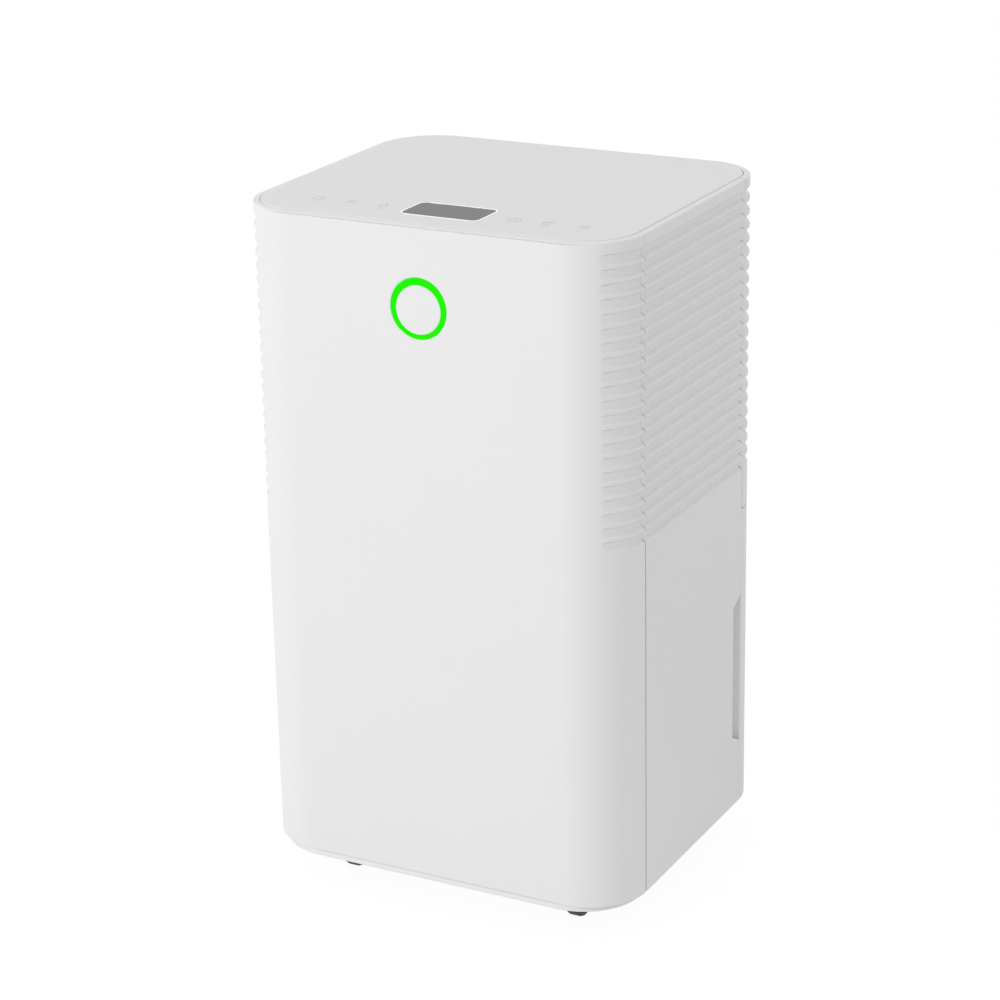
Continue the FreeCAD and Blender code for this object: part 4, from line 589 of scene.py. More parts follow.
# Front shell: one matt white moulding that wraps both front corners as far as the side seams.  Its
# upper corners carry grooves that fade out towards the flat front, and a round hole takes the lamp.
flat_half = half_width - corner_radius
side_wall = 0.006
front_wall = 0.0025
inner_radius = 0.0415
edge_radius = 0.0005
rim_round = (0.0024, 0.0009)
rim_drop = 0.0006
rim_top = top - rim_drop
rim_width = 0.0048
plate_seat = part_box("top_plate")[0][2]
flange_step = 0.0001
flange_low = plate_seat + 2 * flange_step
flange_rows = plate_seat + flange_step * np.array([1, 3])
line_reach = 0.00035
line_depth = 0.0009
line_lift = 0.0001
line_height = rim_top - rim_round[1] - line_reach + line_lift
line_flat = 1.4
line_fade_start = 0.1
line_fade = 0.5
groove_count = 21
groove_pitch = 0.01011
groove_drop = 0.0095
groove_top = top - groove_drop
groove_flat = 0.0061
groove_ramp = 0.0018
groove_depth = 0.0033
groove_arc = 0.0525
crest_radius = 0.0011
lip_radius = 0.0015
vent_height = 0.0011
ceiling_draft = 0.00003
lip_turn = 0.0004
shallow = 0.0004
vanishing = 0.00015
soft_crease = 0.0006
hair = 1e-6
groove_start = 0.62
groove_deep = 0.85
shell_arc = (flat_half, half_depth - corner_radius)
rise_steps = np.linspace(0, np.pi / 2, 5)


def groove_rows(depth, crease_radius):
    """Rows of one groove, from its foot up, for columns of several depths: the crest's upper edge,
    the ramp, the crease, the flat wall, the ceiling and the lip above, each corner an arc that
    shrinks with the depth.  Gives the inward offset and the height from the groove's top."""
    slope = np.array([groove_depth, groove_ramp]) / np.hypot(groove_depth, groove_ramp)
    share = (depth / (depth + shallow))[:, None]
    foot = -groove_flat - groove_ramp * depth / groove_depth
    corners = [
        (0 * depth, foot, turn((0, 1), slope, crest_radius, 4)),
        (depth, -groove_flat + 0 * depth, turn(slope, (0, 1), crease_radius, 3)),
        (depth, 0 * depth - vent_height, np.zeros((1, 2))),
        (depth, 0 * depth, turn((0, 1), (-1, 0), lip_turn, 2)),
        (0 * depth, 0 * depth + ceiling_draft, turn((-1, 0), (0, 1), lip_radius, 4)),
    ]
    inward = [np.clip(across[:, None] + arc[:, 0] * share, 0, None) for across, up, arc in corners]
    inward = np.concatenate(inward, 1)
    height = np.concatenate([up[:, None] + arc[:, 1] * share for across, up, arc in corners], 1)
    spread = np.linspace(-groove_flat - groove_ramp, soft_crease, inward.shape[1])
    blend = np.clip(depth / vanishing, 0, 1)[:, None]
    return inward, height * blend + spread * (1 - blend)


def wall_rows(depth, low, high, plain, crease_radius, above=()):
    """All rows of an outer wall from its hem to its rim: a rounded hem, plain rows, the grooves one
    above the other, plain rows above them, and a rounded rim."""
    ones = np.ones((len(depth), 1))
    inward = [ones * edge_radius * (1 - np.sin(rise_steps)), ones * 0 * plain]
    height = [ones * (low + edge_radius * (1 - np.cos(rise_steps))), ones * plain]
    for groove in reversed(range(groove_count)):
        across, up = groove_rows(depth, crease_radius)
        inward.append(across)
        height.append(up + groove_top - groove_pitch * groove)
    above = np.array(above)
    inward += [ones * 0 * above, ones * rim_round[0] * (1 - np.cos(rise_steps))]
    height += [ones * above, ones * (high - rim_round[1] * (1 - np.sin(rise_steps)))]
    return np.concatenate(inward, 1), np.concatenate(height, 1)


def turn_at(place):
    """How far round its corner a place on the outline lies, as an angle, and nothing on the flat."""
    return np.clip(np.abs(place) - flat_half, 0, None) / corner_radius


def corner_depth(turned):
    """Groove depth round a corner: the gap between the corner's arc and a wider arc that meets it in
    the side, and nothing where the wider arc lies outside."""
    shift = corner_radius - groove_depth - groove_arc
    reach = np.sqrt(groove_arc ** 2 - (shift * np.cos(turned)) ** 2)
    return np.clip(corner_radius - shift * np.sin(turned) - reach, 0, None)


def end_drop(distance, radius):
    """How far a rounded edge has dropped at a distance from it: a quarter circle."""
    inside = np.clip(radius - distance, 0, radius)
    return radius - np.sqrt(radius ** 2 - inside ** 2)


def wall(outer, inner, cells):
    """A closed wall from two matching grids of points and a mask of the cells that exist: a face on
    each grid for each cell, and one across the wall along every line where cells stop."""
    columns, rows = outer.shape[:2]
    count = columns * rows
    index = np.arange(count).reshape(columns, rows)
    near, far = np.nonzero(cells)
    corners = np.stack([index[near + i, far + j] for i, j in ((0, 0), (1, 0), (1, 1), (0, 1))], 1)
    faces = [corners, corners[:, ::-1] + count]
    padded = np.pad(cells, 1).astype(int)
    for across in (True, False):
        step = padded[1:-1, 1:] - padded[1:-1, :-1] if across else padded[1:, 1:-1] - padded[:-1, 1:-1]
        for change in (1, -1):
            i, j = np.nonzero(step == change)
            p, q = (index[i, j], index[i + 1, j]) if across else (index[i, j], index[i, j + 1])
            first, second = (q, p) if across == (change == 1) else (p, q)
            faces.append(np.stack([first, second, second + count, first + count], 1))
    used, places = np.unique(np.concatenate([group.ravel() for group in faces]), return_inverse=True)
    starts = np.cumsum([0] + [group.size for group in faces])
    faces = [places[start:start + group.size].reshape(-1, 4) for start, group in zip(starts, faces)]
    return np.concatenate([outer.reshape(-1, 3), inner.reshape(-1, 3)])[used], faces


def bend_round(place, height, centre, columns, rows, radius, reach):
    """Grid lines bent round a hole: the box of cells between two columns and two rows opens into a
    circle, and the lines outside it ease back to straight within the reach."""
    (left, right), (low, high) = columns, rows
    across, up = place - centre[0], height - centre[1]
    half_x = np.where(across < 0, centre[0] - place[left, low], place[right, low] - centre[0])
    half_z = np.where(up < 0, centre[1] - height[left, low], height[left, high] - centre[1])
    share = np.maximum(np.abs(across) / half_x, np.abs(up) / half_z)
    limit = reach / np.maximum(half_x, half_z)
    away = np.clip((share - 1) / (limit - 1), 0, 1)
    bearing = np.hypot(across / half_x, up / half_z) + 1e-12
    scale = limit / np.maximum(share, 1e-9)
    moved = (share >= 1 - hair) & (share < limit)
    bent_place = centre[0] + (1 - away) * radius * across / half_x / bearing + away * across * scale
    bent_height = centre[1] + (1 - away) * radius * up / half_z / bearing + away * up * scale
    return np.where(moved, bent_place, place), np.where(moved, bent_height, height)


def nearest(values, wanted):
    """Where in a row of values the wanted one is met most nearly."""
    return int(np.argmin(np.abs(values - wanted)))


def wrapped(flat, seam_gap):
    """Columns of a shell that wraps two corners, as places along its outline from the middle: those
    given on the flat, and closer ones round each corner where the grooves run out."""
    end = np.arccos(seam_gap / corner_radius)
    swing = np.concatenate([
        np.linspace(0, groove_start, 7)[:-1], np.linspace(groove_start, groove_deep, 11)[:-1],
        np.linspace(groove_deep, end, 17),
    ])
    corner = flat_half + corner_radius * swing
    return np.concatenate([-corner[::-1], flat, corner])


def outline_points(place, reach, centre):
    """Points on an outline of a flat and two corner arcs of a given radius, about arc centres that
    lie that far from the middle plane and back from the flat; place runs along the body's outline."""
    turned = turn_at(place)
    start = np.arcsin(np.clip((flat_half - centre[0]) / reach, 0, 1))
    turned = np.where(turned > 0, start + turned * (1 - start / (np.pi / 2)), 0)
    on_arc = np.abs(place) > flat_half
    x = np.where(on_arc, np.sign(place) * (centre[0] + reach * np.sin(turned)), place)
    return x, centre[1] + reach * np.cos(turned)


def inner_wall(place, height, low):
    """The inside of a shell: an even wall up to the plate's seat, and a flange of the rim's width above."""
    flange = height > flange_low
    reach = np.where(flange, corner_radius - rim_width, inner_radius)
    centre_x = np.where(flange, flat_half, half_width - side_wall - inner_radius)
    centre_y = np.where(flange, half_depth - corner_radius, half_depth - front_wall - inner_radius)
    x, y = outline_points(place, reach, (centre_x, centre_y))
    return x, y, np.clip(height, low, rim_top)


def shell_wall(place, height, inward, cells, low, facing):
    """The closed wall of a shell that wraps two corners, facing the rear at 1 and the front at -1."""
    outer_x, outer_y = outline_points(place, corner_radius - inward, shell_arc)
    inner_x, inner_y, inner_z = inner_wall(place, height, low)
    outer = np.stack([outer_x, facing * outer_y, height], 2)
    return wall(outer, np.stack([inner_x, facing * inner_y, inner_z], 2), cells)


def round_ends(inward, place):
    """The inward offsets with both ends of the shell rounded."""
    return inward + end_drop(np.abs(place).max() - np.abs(place), edge_radius)[:, None]


def whole_grid(place, rows):
    """Each place repeated for all rows, and a mask of the cells between them, none cut yet."""
    return np.repeat(place[:, None], rows, 1), np.ones((len(place) - 1, rows - 1), bool)


def hollow(place, height, centre, box, radius, reach, inward, cells):
    """Opens a round hole with a rounded edge in a grid, and clears the cells of a box about it."""
    spots = [nearest(place[:, 0], centre[0] + side * box) for side in (-1, 1)]
    lines = [nearest(height[spots[0]], centre[1] + side * box) for side in (-1, 1)]
    place, height = bend_round(place, height, centre, spots, lines, radius, reach)
    cells[spots[0]:spots[1], lines[0]:lines[1]] = False
    away = np.hypot(place - centre[0], height - centre[1]) - radius
    return place, height, inward + end_drop(np.maximum(away, 0), edge_radius) * (away < edge_radius)


ring_height = middle_of("indicator_ring")[2]
ring_outer = 0.0218
ring_box = 0.016
ring_clearance = 0.0001
ring_ease = 0.034
seam_gap = 0.001
near_hole = np.concatenate([np.linspace(0, ring_box, 9), [0.0162, 0.0166, 0.018, 0.021, 0.025, 0.03, 0.036]])
front_flat = np.concatenate([-near_hole[::-1], near_hole[1:]])
front_flat = np.concatenate([[-0.09, -0.07, -0.05], front_flat, [0.05, 0.07, 0.09]])
place = wrapped(front_flat, seam_gap)
turned = turn_at(place)
plain = np.array([0.06, 0.11, 0.16, 0.21, 0.25, 0.28, 0.296])
above = np.append(flange_rows, line_height + line_reach * np.array([-1, -0.3, 0.3]))
inward, height = wall_rows(corner_depth(turned), hem, rim_top, plain, soft_crease, above)
line = np.clip(line_flat * (1 - np.abs(height - line_height) / line_reach), 0, 1)
line_share = np.clip(1 - (turned - line_fade_start) / line_fade, 0, 1)
inward = round_ends(inward, place) + line_depth * line * line_share[:, None]
place, cells = whole_grid(place, height.shape[1])
ring_hole = ((0, ring_height), ring_box, ring_outer + ring_clearance, ring_ease)
place, height, inward = hollow(place, height, *ring_hole, inward, cells)
front_form = shell_wall(place, height, inward, cells, hem, -1)
add_piece("front_shell_moulding", [front_form], shell_white, "chassis", "white_shell", "front_shell")

# Ring lamp: a green light guide pressed into the shell from behind, round a blank white cap, with its
# lamp board behind it.
ring_steps = 96
cap_radius = 0.0175
cap_gap = 0.00005
cap_shift = (-0.0001, -0.0009)
guide_edge = 0.0004
guide_depth = 0.0046
ring_angle = np.arange(ring_steps) * 2 * np.pi / ring_steps


def ring_loop(radius, depth, shift=(0, 0)):
    """A circle in the shell's front face, about the lamp's middle with a shift, at a depth."""
    return np.stack([shift[0] + radius * np.cos(ring_angle), depth - half_depth + 0 * ring_angle,
                     ring_height + shift[1] + radius * np.sin(ring_angle)], 1)


guide_green = moulded("guide_green", (10, 70, 4), 0.35, tone=0.1,
                      Emission_Strength=1.0, Specular_IOR_Level=0.0)
guide_green.node_tree.nodes["Principled BSDF"].inputs["Emission Color"].default_value = linear((30, 240, 3))
rim = ((0, guide_depth), (0, guide_edge), (guide_edge / 3, guide_edge / 3), (guide_edge, 0))
guide = [ring_loop(ring_outer - inset, depth) for inset, depth in rim]
guide += [ring_loop(cap_radius + inset, depth, cap_shift) for inset, depth in reversed(rim)]
guide_form = loft(np.array(guide))
add_piece("ring_light_guide", [guide_form], guide_green, "chassis", "lamp_green", "indicator_ring")
cap_reach = (cap_radius - cap_gap) * 1000
cap_profile = rounded([(0, 0, 0), (cap_reach, 0, 0.5), (cap_reach, 2.4, 0), (0, 2.4, 0)])
cap_centre = (cap_shift[0], -half_depth, ring_height + cap_shift[1])
cap_form = revolve(cap_profile, cap_centre, 1, ring_steps)
add_piece("ring_cap", [cap_form], shell_white, "chassis", "white_shell", "indicator_disc")
dress(solder_mask, 0.0001, "ring_lamp_board")

# Side panels: one moulding on each side with the same grooves run straight, a row of vents under each
# lip, and a notch at the rear edge where fingers reach the tank.  Tongues back the seams at its ends.
panel_low, panel_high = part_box("side_panel_right")
panel_front, panel_rear = panel_low[1], panel_high[1]
vent_count = 6
vent_pitch = 0.026
vent_length = 0.022
vent_row = 7
sharp_crease = 0.0002
cover_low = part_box("rear_cover")[0][2]
cover_gap = 0.0012
notch_low = 0.081
notch_high = 0.204
notch_reach = 0.0135
notch_slope = 0.01
tongue_gap = 0.00003
tongue_reach = 0.0004
tongue_back = 0.0002
tongue_edge = 0.0001
shallow_tongue = 0.0003
tongue_ends = (0.0002, 0.0008, 0.0004, 0.0005)
end_count = len(rise_steps)
end_steps = edge_radius * (1 - np.cos(rise_steps))
vents = ((np.arange(vent_count)[:, None] - (vent_count - 1) / 2) * vent_pitch
         + np.array([-0.5, 0.5]) * vent_length).ravel()
along = np.concatenate([panel_front + end_steps, vents, panel_rear - end_steps[::-1]])
notch_steps = np.linspace(-0.15, 1.15, 14) * notch_slope
plain = np.concatenate([[0.05], notch_low + notch_steps, [0.12, 0.16], notch_high - notch_steps[::-1],
                        [0.24, 0.28, 0.296]])
inward, height = wall_rows(np.full(len(along), groove_depth), hem, rim_top, plain, sharp_crease, flange_rows)
climb = np.clip(np.minimum(height - notch_low, notch_high - height) / notch_slope, 0, 1)
rear_edge = panel_rear - notch_reach * climb * climb * (3 - 2 * climb)
stretch = (rear_edge - panel_front) / (panel_rear - panel_front)
depth = panel_front + (along - panel_front)[:, None] * stretch
depth[:end_count] = along[:end_count, None]
depth[-end_count:] = rear_edge[-end_count:] - (panel_rear - along[-end_count:])[:, None]
drop = end_drop(np.minimum(depth - panel_front, rear_edge - depth), edge_radius)
cells = np.ones((len(along) - 1, height.shape[1] - 1), bool)
groove_rows_each = groove_rows(np.array([groove_depth]), sharp_crease)[0].shape[1]
vent_start = end_count + len(plain) + vent_row
vent_rows = vent_start + groove_rows_each * np.arange(groove_count)
cells[np.ix_(end_count + 2 * np.arange(vent_count), vent_rows)] = False
outside = half_width - inward - drop
inside = half_width - np.where(height > flange_low, rim_width, side_wall)
front_ends = (panel_front - seam_gap + tongue_gap, panel_front + tongue_reach)
rear_ends = (panel_rear - tongue_reach, half_depth - corner_radius + cover_gap - tongue_gap)
deep_tongue = groove_depth + tongue_back
tongue_steps = (
    (front_ends, deep_tongue, hem + tongue_ends[0], groove_top + tongue_ends[1]),
    (front_ends, shallow_tongue, groove_top + tongue_ends[2], rim_top - tongue_ends[2]),
    (rear_ends, deep_tongue, cover_low + tongue_ends[3], groove_top),
)
for side, label in ((1, "right"), (-1, "left")):
    outer = np.stack([side * outside, depth, height], 2)
    inner = np.stack([side * inside, depth, np.clip(height, hem, rim_top)], 2)
    panel_forms = [wall(outer, inner, cells)]
    for ends, sunk, low, high in tongue_steps:
        reach = (half_width - side_wall + tongue_back, half_width - sunk)
        half = ((reach[1] - reach[0]) / 2, (ends[1] - ends[0]) / 2)
        tongue = rounded_rectangle(*half, tongue_edge, 1, (side * sum(reach) / 2, sum(ends) / 2))
        panel_forms.append(extrude(tongue, low, high, tongue_edge, 2, 1))
    add_piece(f"side_panel_moulding_{label}", panel_forms, shell_white, "chassis", "white_shell",
              f"side_panel_{label}")

# Rear cover: wraps both rear corners above the tank.  Its flat has the air intake, two round cups for
# the hose and the mains cord, and the sunk seats of its four screws.
intake_half = 0.1
grille_low, grille_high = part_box("intake_grille")
cup_x, cup_z = middle_of("drain_nozzle")[[0, 2]]
cup_box = 0.013
cup_mouth = 0.0168
cup_reach = 0.0188
intake_gap = 0.0003
screw_x = 0.056
upper_screw_drop = 0.00975
screw_heights = (cup_z, top - upper_screw_drop)
seat_radius = 0.00405
seat_box = 0.003
seat_reach = 0.0066
intake_low, intake_high = grille_low[2] - intake_gap, grille_high[2] + intake_gap
near_cup = np.concatenate([
    [-0.0208, -0.018, -0.0155, -0.0136, -0.0132], np.linspace(-cup_box, cup_box, 11), [0.0132, 0.0136],
])
near_seat = np.concatenate([[-0.0065, -0.0045, -0.0034, -0.0031], np.linspace(-seat_box, seat_box, 7),
                            [0.0031, 0.0034, 0.0045, 0.0065]])
near_intake = intake_half + np.array([-0.0001, 0, 0.0002, 0.0006])
at_cup = cup_x + near_cup
at_cup = at_cup[(at_cup < near_intake[0]) | (at_cup > near_intake[-1])]
half_flat = np.concatenate([[0.02, 0.036], screw_x + near_seat, at_cup, near_intake])
half_flat = np.unique(np.round(half_flat, 6))
place = wrapped(np.concatenate([-half_flat[::-1], [0], half_flat]), cover_gap)
plain = np.concatenate([[0.2728, 0.2766], cup_z + np.linspace(-0.0125, -0.0055, 5), cup_z + near_seat[1:-1],
                        cup_z + np.array([0.0065, 0.0085, 0.0105])])
above = np.concatenate([screw_heights[1] + np.array([0.0015, 0.0021, 0.0027, 0.0033, 0.0045]), flange_rows,
                        [screw_heights[1] + seat_reach]])
inward, height = wall_rows(corner_depth(turn_at(place)), cover_low, rim_top, plain, soft_crease, above)
inward = round_ends(inward, place)
flat_columns = np.abs(place) < flat_half - hair
low_row, high_row = (nearest(height[len(place) // 2], level) for level in (intake_low, intake_high))
height[flat_columns, low_row] = intake_low
height[flat_columns, high_row] = intake_high
place, cells = whole_grid(place, height.shape[1])
edge_columns = [nearest(place[:, 0], side * intake_half) for side in (-1, 1)]
cells[edge_columns[0]:edge_columns[1], low_row:high_row] = False
from_intake = np.maximum.reduce([np.abs(place) - intake_half, intake_low - height, height - intake_high])
beside_intake = (from_intake > -hair) & (from_intake < edge_radius)
inward = inward + end_drop(np.maximum(from_intake, 0), edge_radius) * beside_intake
for side in (-1, 1):
    holes = [((side * cup_x, cup_z), cup_box, cup_mouth, cup_reach)]
    holes += [((side * screw_x, level), seat_box, seat_radius, seat_reach) for level in screw_heights]
    for hole in holes:
        place, height, inward = hollow(place, height, *hole, inward, cells)
cover_forms = [shell_wall(place, height, inward, cells, cover_low, 1)]
cup_bores = ((1, 7.55), (-1, 9.0))
for side, bore in cup_bores:
    cup_profile = rounded([
        (bore, -15.5, 0), (18.5, -15.5, 2), (18.5, -2.6, 0), (16.76, -2.6, 0), (16.76, -0.02, 0),
        (16.55, 0, 0.1), (16, -0.75, 0.5), (15.8, -13, 1.2), (bore, -13, 0.3),
    ], closed=True)
    cover_forms.append(revolve(cup_profile, (side * cup_x, half_depth, cup_z), 1, 72))
screw_spots = [(side * screw_x, half_depth, level) for side in (-1, 1) for level in screw_heights]
for spot, tail in zip(screw_spots, 2 * (-20, -3)):
    seat_profile = rounded([
        (1.65, tail, 0), (5.5, tail, 0), (5.5, -2.2, 0), (4.6, -1.4, 0), (1.65, -1.4, 0),
    ], closed=True)
    cover_forms.append(revolve(seat_profile, spot, 1, 32))
add_piece("rear_cover_moulding", cover_forms, shell_white, "chassis", "white_shell", "rear_cover")

# Cover screws: four pan heads with a cross recess, sunk in their seats.
screw_steps = 64
cross_reach = 0.0021
cross_half = 0.00052
screw_tip = -0.006
cross_floor = -0.0012


screw_angle = (np.arange(screw_steps) + 0.5) * 2 * np.pi / screw_steps
screw_sine, screw_cosine = np.sin(screw_angle), np.cos(screw_angle)


def cross_outline(half_length, half_bar):
    """A cross drawn as one radius for each angle: the larger of two bars' reaches."""
    sine, cosine = np.abs(screw_sine), np.abs(screw_cosine)
    level_bar = np.minimum(half_length / cosine, half_bar / sine)
    return np.maximum(level_bar, np.minimum(half_bar / cosine, half_length / sine))


cross = cross_outline(cross_reach, cross_half)
screw_loops = (
    (0.0016, screw_tip), (0.0016, -0.0014), (0.0039, -0.0014), (0.004, -0.0009), (0.0038, -0.0005),
    (0.0031, -0.0002), (cross * 1.06, -0.0001), (cross, -0.0002), (cross * 0.8, -0.0011),
)
screw_forms = []
for x, y, z in screw_spots:
    loops = [np.stack([x + radius * screw_sine, y + depth + 0 * screw_sine, z + radius * screw_cosine], 1)
             for radius, depth in screw_loops]
    screw_forms.append(loft(np.array(loops), np.array([[x, y + screw_tip, z], [x, y + cross_floor, z]])))
add_piece("cover_screw_heads", screw_forms, zinc_steel, "chassis", "zinc_steel", "cover_screws")

# Hose fitting: a grey nozzle that comes through its cup from the drip tray, closed by a rubber plug;
# the other cup has the bush where the mains cord enters.
nozzle_root = (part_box("drain_nozzle")[0][1] - half_depth) * 1000
nozzle_profile = rounded([
    (6, nozzle_root, 0), (7.5, nozzle_root, 0),
    (7.5, -13, 0.3), (8, -12.4, 0.3), (8, -9.6, 0.3), (7.3, -9.2, 0.3), (8, -6.4, 0.4), (7.3, -6, 0.3),
    (7.6, -4, 0.3), (6, -4, 0.2),
], closed=True)
plug_rubber = moulded("plug_rubber", (52, 52, 54), 0.65, bump=0.1, size=900.0, tone=0.1)
fitting = (cup_x, half_depth, cup_z)
nozzle_form = revolve(nozzle_profile, fitting, 1, 64)
add_piece("hose_nozzle", [nozzle_form], grey_plastic, "chassis", "grey_plastic", "drain_nozzle")
plug_profile = rounded([
    (0, -18, 0), (5.5, -18, 0.6), (5.9, -16.5, 0.2), (5.9, -4, 0), (7.5, -4, 0.4), (7.5, -2, 0.8),
    (6, -1.6, 0.6), (3.4, -1.6, 0.3), (3, -2.4, 0.4), (0, -2.4, 0),
])
plug_form = revolve(plug_profile, fitting, 1)
add_piece("hose_plug", [plug_form], plug_rubber, "plug", "rubber_black", "drain_plug")
bush_profile = rounded([
    (3.8, -15.5, 0), (9, -15.5, 0), (9, -13, 0.2), (12, -13, 0.2), (12, -11.6, 0.7), (6.5, -11, 1),
    (5.2, -11, 0.3), (3.8, -11.8, 0.3),
], closed=True)
bush_form = revolve(bush_profile, (-cup_x, half_depth, cup_z), 1, 64)
add_piece("cord_bush", [bush_form], dark_plastic, "chassis", "dark_plastic", "cord_gland")

# Top: a frame inside the shells carries the control board; the plate stands a little above the rim, with
# a smoked display window and six touch keys printed on it.
dress(grey_plastic, 0.0005, "top_frame")
dress(solder_mask, 0.0001, "control_board")
dress(dark_plastic, 0.0004, "display_module")
dress(zinc_steel, 0, "touch_springs")
plate_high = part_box("top_plate")[1]
window_low, window_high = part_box("display_window")
window_spare = (0.0024, 0.0022)
window_shift = (0.002, -0.0016)
window_centre = (window_shift[0], middle_of("display_window")[1] + window_shift[1])
window_half = [(window_high[axis] - window_low[axis]) / 2 + window_spare[axis] for axis in (0, 1)]
window_gap = 0.00005
window_sunk = 0.0001
window_edge = 0.0001
plate_edge = 0.0008
plate_gap = 0.0004
plate_inset = rim_width + plate_gap
key_height = 0.00005
plate_top = top - key_height
window_corner = 0.007
window_high = (*window_high[:2], window_high[2] + plate_top - plate_high[2])
trim_width = 0.0015


def frame_ring(outer, inner, low, high, edge, up=2):
    """A flat frame between two matching outlines, with all four of its rims rounded by quarter
    circles; each outline is drawn in or out along its normals."""
    levels, insets = rim_steps(low, high, edge)
    loops = [at_level(outline - away * inset * normals(outline), level)
             for outline, away in ((outer, 1), (inner, -1))
             for level, inset in zip(levels[::away], insets)]
    return loft(np.roll(np.array(loops), up + 1, 2))


# The top plate is the shells' plastic set a little darker: painted shade that keeps the top darker than the
# front.
plate_white_painted_shade = moulded("plate_white_painted_shade", (229, 229, 229), 0.5)
display_film = moulded("display_film", (114, 114, 115), 0.45, bump=0.02, tone=0.015, Specular_IOR_Level=0.3)
trim_bright = moulded("trim_bright", (252, 252, 252), 0.15, bump=0.0, Metallic=1.0)
key_grey = moulded("key_grey", (192, 192, 192), 0.5)
plate_half = (half_width - plate_inset, half_depth - plate_inset)
plate_outline = rounded_rectangle(*plate_half, corner_radius - plate_inset)


def window_outline(spare, corner):
    """The window's outline, let out on all sides by a spare width."""
    return rounded_rectangle(window_half[0] + spare, window_half[1] + spare, corner, centre=window_centre)


recess_outline = window_outline(window_gap, window_corner)
glass_outline = window_outline(-trim_width, window_corner - trim_width)
plate_form = frame_ring(plate_outline, recess_outline, plate_seat + plate_gap, plate_top, plate_edge)
add_piece("top_plate_moulding", [plate_form], plate_white_painted_shade, "chassis", "white_shell", "top_plate")
film_form = extrude(glass_outline, window_low[2], window_high[2] - window_sunk, window_edge)
add_piece("display_film_panel", [film_form], display_film, "chassis", "display_grey", "display_window")
trim_outline = window_outline(0, window_corner)
trim_form = frame_ring(trim_outline, glass_outline, window_low[2], window_high[2], window_edge)
add_piece("display_trim", [trim_form], trim_bright, "chassis", "white_shell")
key_places = (0.051, 0.0772, 0.1034)
key_line = 0.0007
key_scale = 1.3
key_shift = 0.0033
key_back = 0.003
mark_back = 0.0095
mark_half = 1.3
key_y = window_centre[1] - key_back
mark_y = key_y - mark_back


def arc(radius, start, end, centre=(0, 0), steps=25):
    """Points of a circle's arc in millimetres between two angles in degrees."""
    angle = np.radians(np.linspace(start, end, steps))
    return np.stack([centre[0] + radius * np.cos(angle), centre[1] + radius * np.sin(angle)], 1)


def stroke(line, centre):
    """A raised printed line of even width along an open line of points in millimetres."""
    line = np.asarray(line, float) * key_scale / 1000 + centre
    way = np.gradient(line, axis=0)
    way /= np.linalg.norm(way, axis=1)[:, None]
    beside = np.stack([-way[:, 1], way[:, 0]], 1) * key_line / 2
    band = np.concatenate([line - beside, (line + beside)[::-1]])
    return extrude(band, window_high[2] - key_height, window_high[2] + key_height, key_height / 4, steps=1)


drop_turn = np.linspace(0.02, 2 * np.pi - 0.02, 41)
drop_line = np.stack([2.7 * np.sin(drop_turn) * np.sin(drop_turn / 2) ** 1.5, 3.6 * np.cos(drop_turn)], 1)
wind_run = np.linspace(-3.4, 3.4, 17)
key_lines = {
    "power": [arc(3.2, 125, 415), [(0, 0.8), (0, 3.9)]],
    "wind": [np.stack([wind_run * scale, 0.6 * np.sin(wind_run * 1.4) + lift], 1)
             for scale, lift in ((1, 2.2), (0.8, 0), (1, -2.2))],
    "drop": [drop_line],
    "timer": [arc(3.4, 0, 359), [(0, 2.2), (0, 0)], [(0, 0), (1.7, 0)]],
    "night": [arc(3.4, 60, 300), arc(2.9, 75, 285, (1.35, 0))],
    "dry": [arc(1.5, 0, 359)] + [np.array([[2.3], [3.6]]) * (np.cos(ray), np.sin(ray))
                                 for ray in np.arange(8) * np.pi / 4],
}
spots = key_shift + np.array([-place for place in key_places[::-1]] + list(key_places))
prints = []
for spot, lines in zip(spots, key_lines.values()):
    prints += [stroke(line, (spot, key_y)) for line in lines]
    prints.append(stroke([(-mark_half, 0), (mark_half, 0)], (spot, mark_y)))
add_piece("key_prints", prints, key_grey, "chassis", "white_shell")

# Intake grille: a white frame with level slats, clipped in the rear cover; it draws out backwards with
# the dust net behind it.
net_low, net_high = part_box("filter_mesh")
frame_wall = 0.005
frame_edge = 0.0007
frame_rims = ((0, 0.0012), (frame_wall, 0.002))
slat_count = 17
slat_edge = 0.0001
bar_half = 0.001
bar_pitch = 0.0475
bar_depth = 0.0035
bar_round = 0.0005
bar_edge = 0.0003
grille_middle = middle_of("intake_grille")[2]
grille_half = ((grille_high[2] - grille_low[2]) / 2, (grille_high[0] - grille_low[0]) / 2)


def rear_outline(half, inset, radius, steps=4):
    """The outline of a piece that faces the rear, drawn in evenly."""
    return rounded_rectangle(half[0] - inset, half[1] - inset, radius, steps, (grille_middle, 0))


grille_rims = [rear_outline(grille_half, inset, radius) for inset, radius in frame_rims]
grille_forms = [frame_ring(*grille_rims, grille_low[1], grille_high[1], frame_edge, 1)]
slat_pitch = 2 * (grille_half[0] - frame_wall) / (slat_count + 1)
slat_reach = grille_half[1] - frame_wall / 2
slat_front, slat_rear = net_high[1] * 1000, (grille_high[1] - frame_edge) * 1000
slat_section = rounded([
    (slat_front, 0.9, 0.3), (slat_front, -0.9, 0.3), (slat_rear, -1.5, 0.9), (slat_rear, 0.9, 0.9),
], closed=True)
for slat in range(slat_count):
    height = grille_low[2] + frame_wall + (slat + 1) * slat_pitch
    grille_forms.append(extrude(slat_section + (0, height), -slat_reach, slat_reach, slat_edge, 0, 1))
for place in (-1, 0, 1):
    bar_centre = (place * bar_pitch, grille_middle)
    bar = rounded_rectangle(bar_half, grille_half[0] - frame_wall / 2, bar_round, 2, bar_centre)
    bar = np.stack([bar[:, 1], bar[:, 0]], 1)[::-1]
    grille_forms.append(extrude(bar, net_high[1], net_high[1] + bar_depth, bar_edge, 1, 1))
